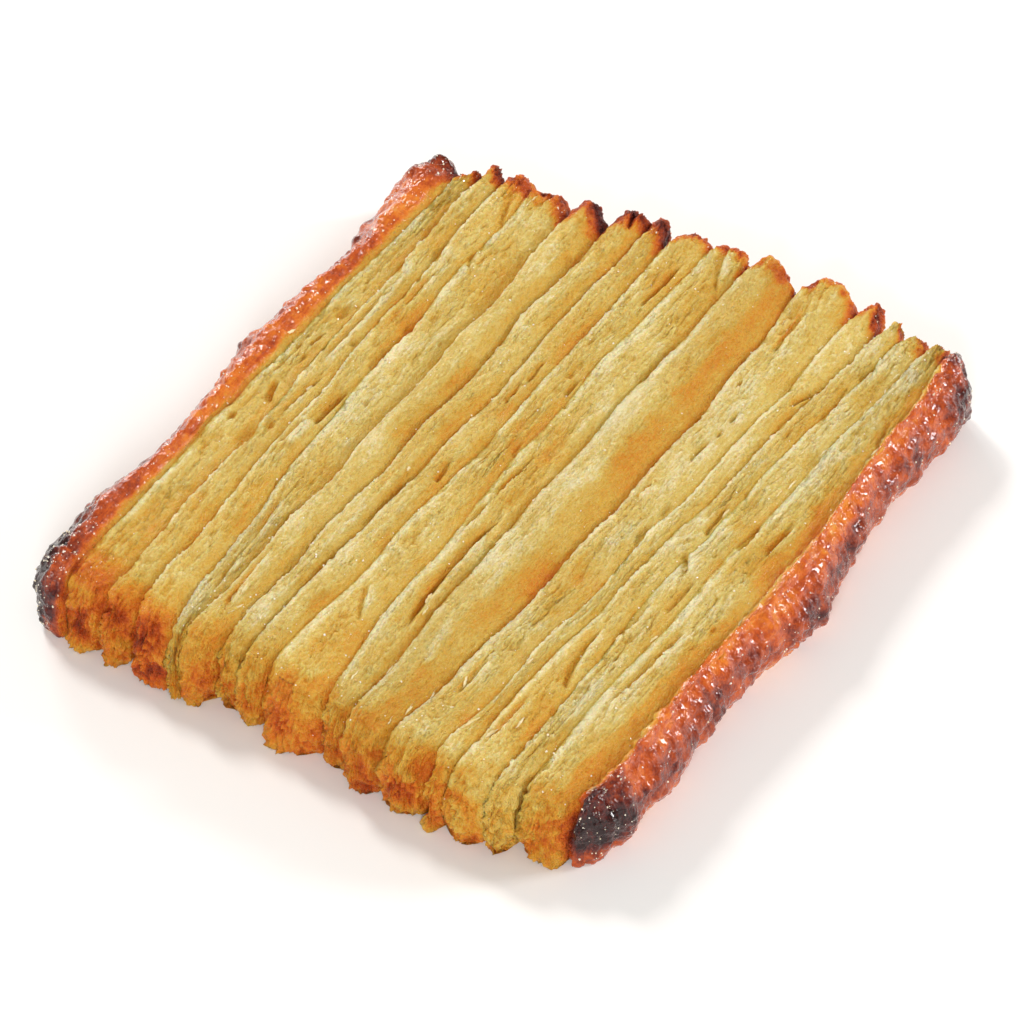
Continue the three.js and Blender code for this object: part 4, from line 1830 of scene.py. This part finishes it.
@dataclass
class TornFlakes:
    """The thin pale flakes that have torn loose along the lips and curled up, as one piece."""

    # Across and along the slab
    places: tuple[Pair, ...] = (
        (-19.3, -41.0), (-18.3, -43.0), (-19.0, -44.5), (-43.0, 5.5), (-33.6, -3.0), (-34.0, -8.0),
        (-12.2, -9.4), (-21.6, 47.0), (4.2, -30.0), (5.0, -32.0), (6.6, -44.0), (3.4, -48.0),
        (14.2, -44.5), (13.2, -49.0), (12.2, -52.5), (17.4, -41.0), (18.2, -46.5), (23.0, -33.0),
        (22.7, -42.0), (22.3, -47.0), (25.5, -47.5), (28.0, -44.0), (35.5, -20.0), (32.0, -6.0),
        (36.8, -8.5), (38.0, 10.0), (36.0, 14.0), (36.5, 17.0), (38.0, 22.0), (37.2, 25.0),
        (37.8, 29.0), (38.2, 35.0), (38.6, 38.5), (38.3, 41.0), (38.2, 44.5), (37.6, 45.6),
        (22.7, 26.0), (18.0, 46.6), (30.8, 51.0), (25.4, 45.0), (-36.8, 53.0), (-27.4, 49.0),
    )
    placed_scale: float = 1.2
    scattered: int = 90
    scattered_scale: float = 0.8
    length: Pair = (0.8, 2.4)
    width: Pair = (0.14, 0.34)
    thickness: float = 0.06
    lift: float = -0.02
    tip_width: float = 0.12
    curl: Pair = (0.3, 0.9)
    arch: Pair = (-0.1, 0.3)
    rows: int = 9
    columns: int = 5
    seed: int = 17
    finish: FlakeFinish = FlakeFinish()
    pieces: list[Piece] = field(default_factory=list)

    def build(self, ground: Ground) -> None:
        """Lays one flake at each chosen place and more of them along the lips.

        Args:
            ground: the open surface of the pastry.
        """
        draw = np.random.default_rng(self.seed)
        skin = Skin()
        is_top = (ground.glaze < 0.5) & (ground.normals[:, 2] > 0.2)
        points, normals, lip = ground.points[is_top], ground.normals[is_top], ground.lip[is_top]
        for place in self.places:
            nearest = int(np.argmin(np.hypot(points[:, 0] - place[0], points[:, 1] - place[1])))
            self._lay(skin, draw, points[nearest], normals[nearest], self.placed_scale)
        for chosen in draw.choice(len(points), self.scattered, replace=False, p=lip / lip.sum()):
            self._lay(skin, draw, points[chosen], normals[chosen], self.scattered_scale)
        self.pieces.append(skin.to_object("torn_flakes", skin.all_points(), {}))

    def _lay(self, skin: Skin, draw: np.random.Generator, point: Array, normal: Array, scale: float) -> None:
        """Lays one flake.

        Args:
            skin: the mesh under construction.
            draw: where the flake's random sizes come from.
            point: where it lies.
            normal: the direction that the pastry faces there.
            scale: how large it is beside the others.
        """
        up = normal + np.array((0.0, 0.0, 1.2))
        up /= np.linalg.norm(up)
        heading = draw.normal(0.0, 0.2)
        forward = np.array((math.sin(heading), math.cos(heading), 0.0))
        forward -= up * forward.dot(up)
        forward /= np.linalg.norm(forward)
        left = np.cross(up, forward)
        length, width = scale * draw.uniform(*self.length), scale * draw.uniform(*self.width)
        curl, arch = draw.uniform(*self.curl) * width, draw.uniform(*self.arch) * width
        s = np.linspace(0.0, 1.0, self.rows)[:, None]
        t = np.linspace(0.0, 1.0, self.columns)[None, :]
        outline = self.tip_width + (1.0 - self.tip_width) * np.sin(math.pi * s) ** 0.7
        half = width * outline * (1.0 + 0.25 * draw.normal(size=(self.rows, 1)))
        sideways = (t - 0.4) * half + 0.12 * width * draw.normal(size=(self.rows, 1))
        height = curl * t**2 + arch * (1.0 - (2.0 * s - 1.0) ** 2) + self.lift
        middle = point + forward * (s[..., None] - 0.5) * length + left * sideways[..., None]
        over = middle + up * height[..., None]
        under = over - up * self.thickness
        rings = skin.add_points(np.concatenate([over, under[:, ::-1]], axis=1))
        strip = np.linspace(0.0, 1.0, 2 * self.columns + 1)
        skin.add_grid(rings, strip, np.linspace(0.0, 1.0, self.rows), wrap=True)
        for row, turned in ((0, True), (self.rows - 1, False)):
            top, bottom = rings[row, : self.columns], rings[row, self.columns :][::-1]
            faces = np.stack([top[:-1], top[1:], bottom[1:], bottom[:-1]], axis=-1)
            if not turned:
                faces = faces[:, ::-1]
            skin.add_faces(faces, np.zeros((len(faces), 4, 2)))

    def dress(self) -> None:
        """Gives the flakes their finish and lets them lie on the pastry."""
        settle(self.pieces, self.finish.material())


@dataclass
class SugarGrainsAndGlints:
    """The grains of sugar that are scattered over the pastry, as one piece. On the glazed rims they also stand
    in for glints, as painted highlights.
    """

    count: int = 600
    rim_count: int = 600
    size: Pair = (0.08, 0.24)
    stretch: Pair = (0.7, 1.25)
    near_crowding: float = 1.0
    crowded_span: Span = (-36.0, -48.0)
    sink: float = 0.25
    seed: int = 5
    finish: SugarFinish = SugarFinish()
    pieces: list[Piece] = field(default_factory=list)

    def build(self, ground: Ground) -> None:
        """Scatters the grains, thinly on the top and thickly on the glazed rims, where they also stand in for
        glints as painted highlights.

        Args:
            ground: the open surface of the pastry.
        """
        draw = np.random.default_rng(self.seed)
        tops = np.flatnonzero((ground.glaze < 0.5) & (ground.normals[:, 2] > 0.4))
        # Painted highlights: the white grains on the glazed rims stand in for glints, crowded towards the near
        # end.
        rims = np.flatnonzero((ground.glaze > 0.8) & (ground.normals[:, 2] > -0.2))
        crowd = 1.0 + self.near_crowding * smooth_step(*self.crowded_span, ground.points[rims, 1])
        on_tops = draw.choice(tops, self.count, replace=False)
        on_rims = draw.choice(rims, self.rim_count, replace=False, p=crowd / crowd.sum())
        chosen = np.concatenate([on_tops, on_rims])
        corners = np.array([(x, y, z) for x in (-1, 1) for y in (-1, 1) for z in (-1, 1)], float) / 2
        quads = np.array([(0, 1, 3, 2), (4, 6, 7, 5), (0, 4, 5, 1), (2, 3, 7, 6), (0, 2, 6, 4), (1, 5, 7, 3)])
        places = np.tile([(0.0, 0.0), (1.0, 0.0), (1.0, 1.0), (0.0, 1.0)], (len(quads), 1, 1))
        skin = Skin()
        least, most = self.size
        for point, normal in zip(ground.points[chosen], ground.normals[chosen]):
            turn = self._random_turn(draw)
            edge = (least + (most - least) * draw.uniform() ** 2) * draw.uniform(*self.stretch, 3)
            centre = point + normal * (0.5 - self.sink) * edge.mean()
            numbers = skin.add_points((corners * edge) @ turn.T + centre)
            skin.add_faces(numbers[quads], places)
        piece = skin.to_object("sugar_grains_and_glints", skin.all_points(), {})
        for polygon in piece.data.polygons:
            polygon.use_smooth = False
        self.pieces.append(piece)

    @staticmethod
    def _random_turn(draw: np.random.Generator) -> Array:
        """A random turn in space, as a matrix."""
        turn, _ = np.linalg.qr(draw.normal(size=(3, 3)))
        return turn * np.sign(np.linalg.det(turn))

    def dress(self) -> None:
        """Gives the grains their finish and lets them lie on the pastry."""
        settle(self.pieces, self.finish.material())


def settle(pieces: list[Piece], finish: Material) -> None:
    """Gives pieces their finish, makes them ride on the pastry's body and hides the solid that they stand for.

    Args:
        pieces: the pieces.
        finish: their material.
    """
    for piece in pieces:
        piece.data.materials.append(finish)
        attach(piece, BODY)
        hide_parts(NODE)


@dataclass(frozen=True)
class Lamp:
    """One soft lamp: where it hangs, in metres, how large it is, and how bright."""

    name: str
    place: Triple
    size: float
    power: float
    colour: Colour = (255, 255, 255)

    def build(self) -> None:
        """Hangs the lamp, facing the pastry."""
        light = bpy.data.lights.new(self.name, "AREA")
        light.shape = "DISK"
        light.size = self.size
        light.energy = self.power
        light.color = screen_colour(self.colour)
        lamp = bpy.data.objects.new(self.name, light)
        lamp.location = self.place
        lamp.rotation_mode = "QUATERNION"
        lamp.rotation_quaternion = (-Vector(self.place)).to_track_quat("-Z", "Y")
        bpy.context.scene.collection.objects.link(lamp)


@dataclass
class Studio:
    """The pale floor, the soft light and the camera."""

    floor_size: float = 6.0
    sky_colour: Colour = (255, 249, 240)
    sky_strength: float = 0.44
    azimuth: float = 31.77
    elevation: float = 44.76
    target: Triple = (-1.32, 1.35, 0.0)
    distance: float = 878.6
    lens: float = 211.1
    sensor: float = 36.0
    lamps: tuple[Lamp, ...] = (
        Lamp("key_light", (-0.75, 0.35, 0.75), 0.24, 6.2, (255, 250, 244)),
        Lamp("fill_light", (0.45, -0.95, 0.6), 0.35, 7.2),
        Lamp("back_light", (-0.8, 0.64, 0.32), 0.28, 3.4),
        Lamp("side_light", (0.75, 0.66, 0.39), 0.25, 6.0),
    )

    def build(self) -> None:
        """Sets up the floor, the sky, the lamps and the camera."""
        self._build_floor()
        world = bpy.data.worlds.new("studio_sky")
        world.use_nodes = True
        background = world.node_tree.nodes["Background"]
        background.inputs["Color"].default_value = (*screen_colour(self.sky_colour), 1.0)
        background.inputs["Strength"].default_value = self.sky_strength
        bpy.context.scene.world = world
        bpy.context.scene.view_settings.view_transform = "Standard"
        for lamp in self.lamps:
            lamp.build()
        self._build_camera()

    def _build_floor(self) -> None:
        """Lays the floor just under the pastry."""
        half = self.floor_size / 2
        mesh = bpy.data.meshes.new("pale_floor")
        corners = [(-half, -half, 0.0), (half, -half, 0.0), (half, half, 0.0), (-half, half, 0.0)]
        mesh.from_pydata(corners, [], [(0, 1, 2, 3)])
        floor = bpy.data.objects.new("pale_floor", mesh)
        floor.location.z = -0.02 * MM
        mesh.materials.append(FloorFinish().material())
        bpy.context.scene.collection.objects.link(floor)

    def _build_camera(self) -> None:
        """Places the camera where the photograph was taken from."""
        turn, tilt = math.radians(self.azimuth), math.radians(self.elevation)
        back = Vector((math.sin(turn) * math.cos(tilt), -math.cos(turn) * math.cos(tilt), math.sin(tilt)))
        camera = bpy.data.cameras.new("camera")
        camera.lens = self.lens
        camera.sensor_width = self.sensor
        camera.clip_start = 0.01
        camera.clip_end = 20.0
        holder = bpy.data.objects.new("camera", camera)
        holder.location = (Vector(self.target) + back * self.distance) * MM
        holder.rotation_mode = "QUATERNION"
        holder.rotation_quaternion = (-back).to_track_quat("-Z", "Y")
        bpy.context.scene.collection.objects.link(holder)
        bpy.context.scene.camera = holder


def report(pieces: list[Piece]) -> None:
    """Logs each piece with its size and its number of faces."""
    for piece in pieces:
        size = [round(length / MM, 1) for length in piece.dimensions]
        LOG.info("%s: %d faces, %s mm", piece.name, len(piece.data.polygons), size)


def main() -> None:
    """Builds the studio, the pastry and what lies on it, in that order."""
    logging.basicConfig(level=logging.INFO, format="%(name)s: %(message)s")
    Studio().build()
    slab = PastrySlab()
    slab.build()
    slab.dress()
    report(slab.pieces)
    ground = Ground.joined(slab.grounds)
    flakes = TornFlakes()
    flakes.build(ground)
    flakes.dress()
    report(flakes.pieces)
    sugar = SugarGrainsAndGlints()
    sugar.build(ground)
    sugar.dress()
    report(sugar.pieces)


if __name__ == "__main__":
    main()
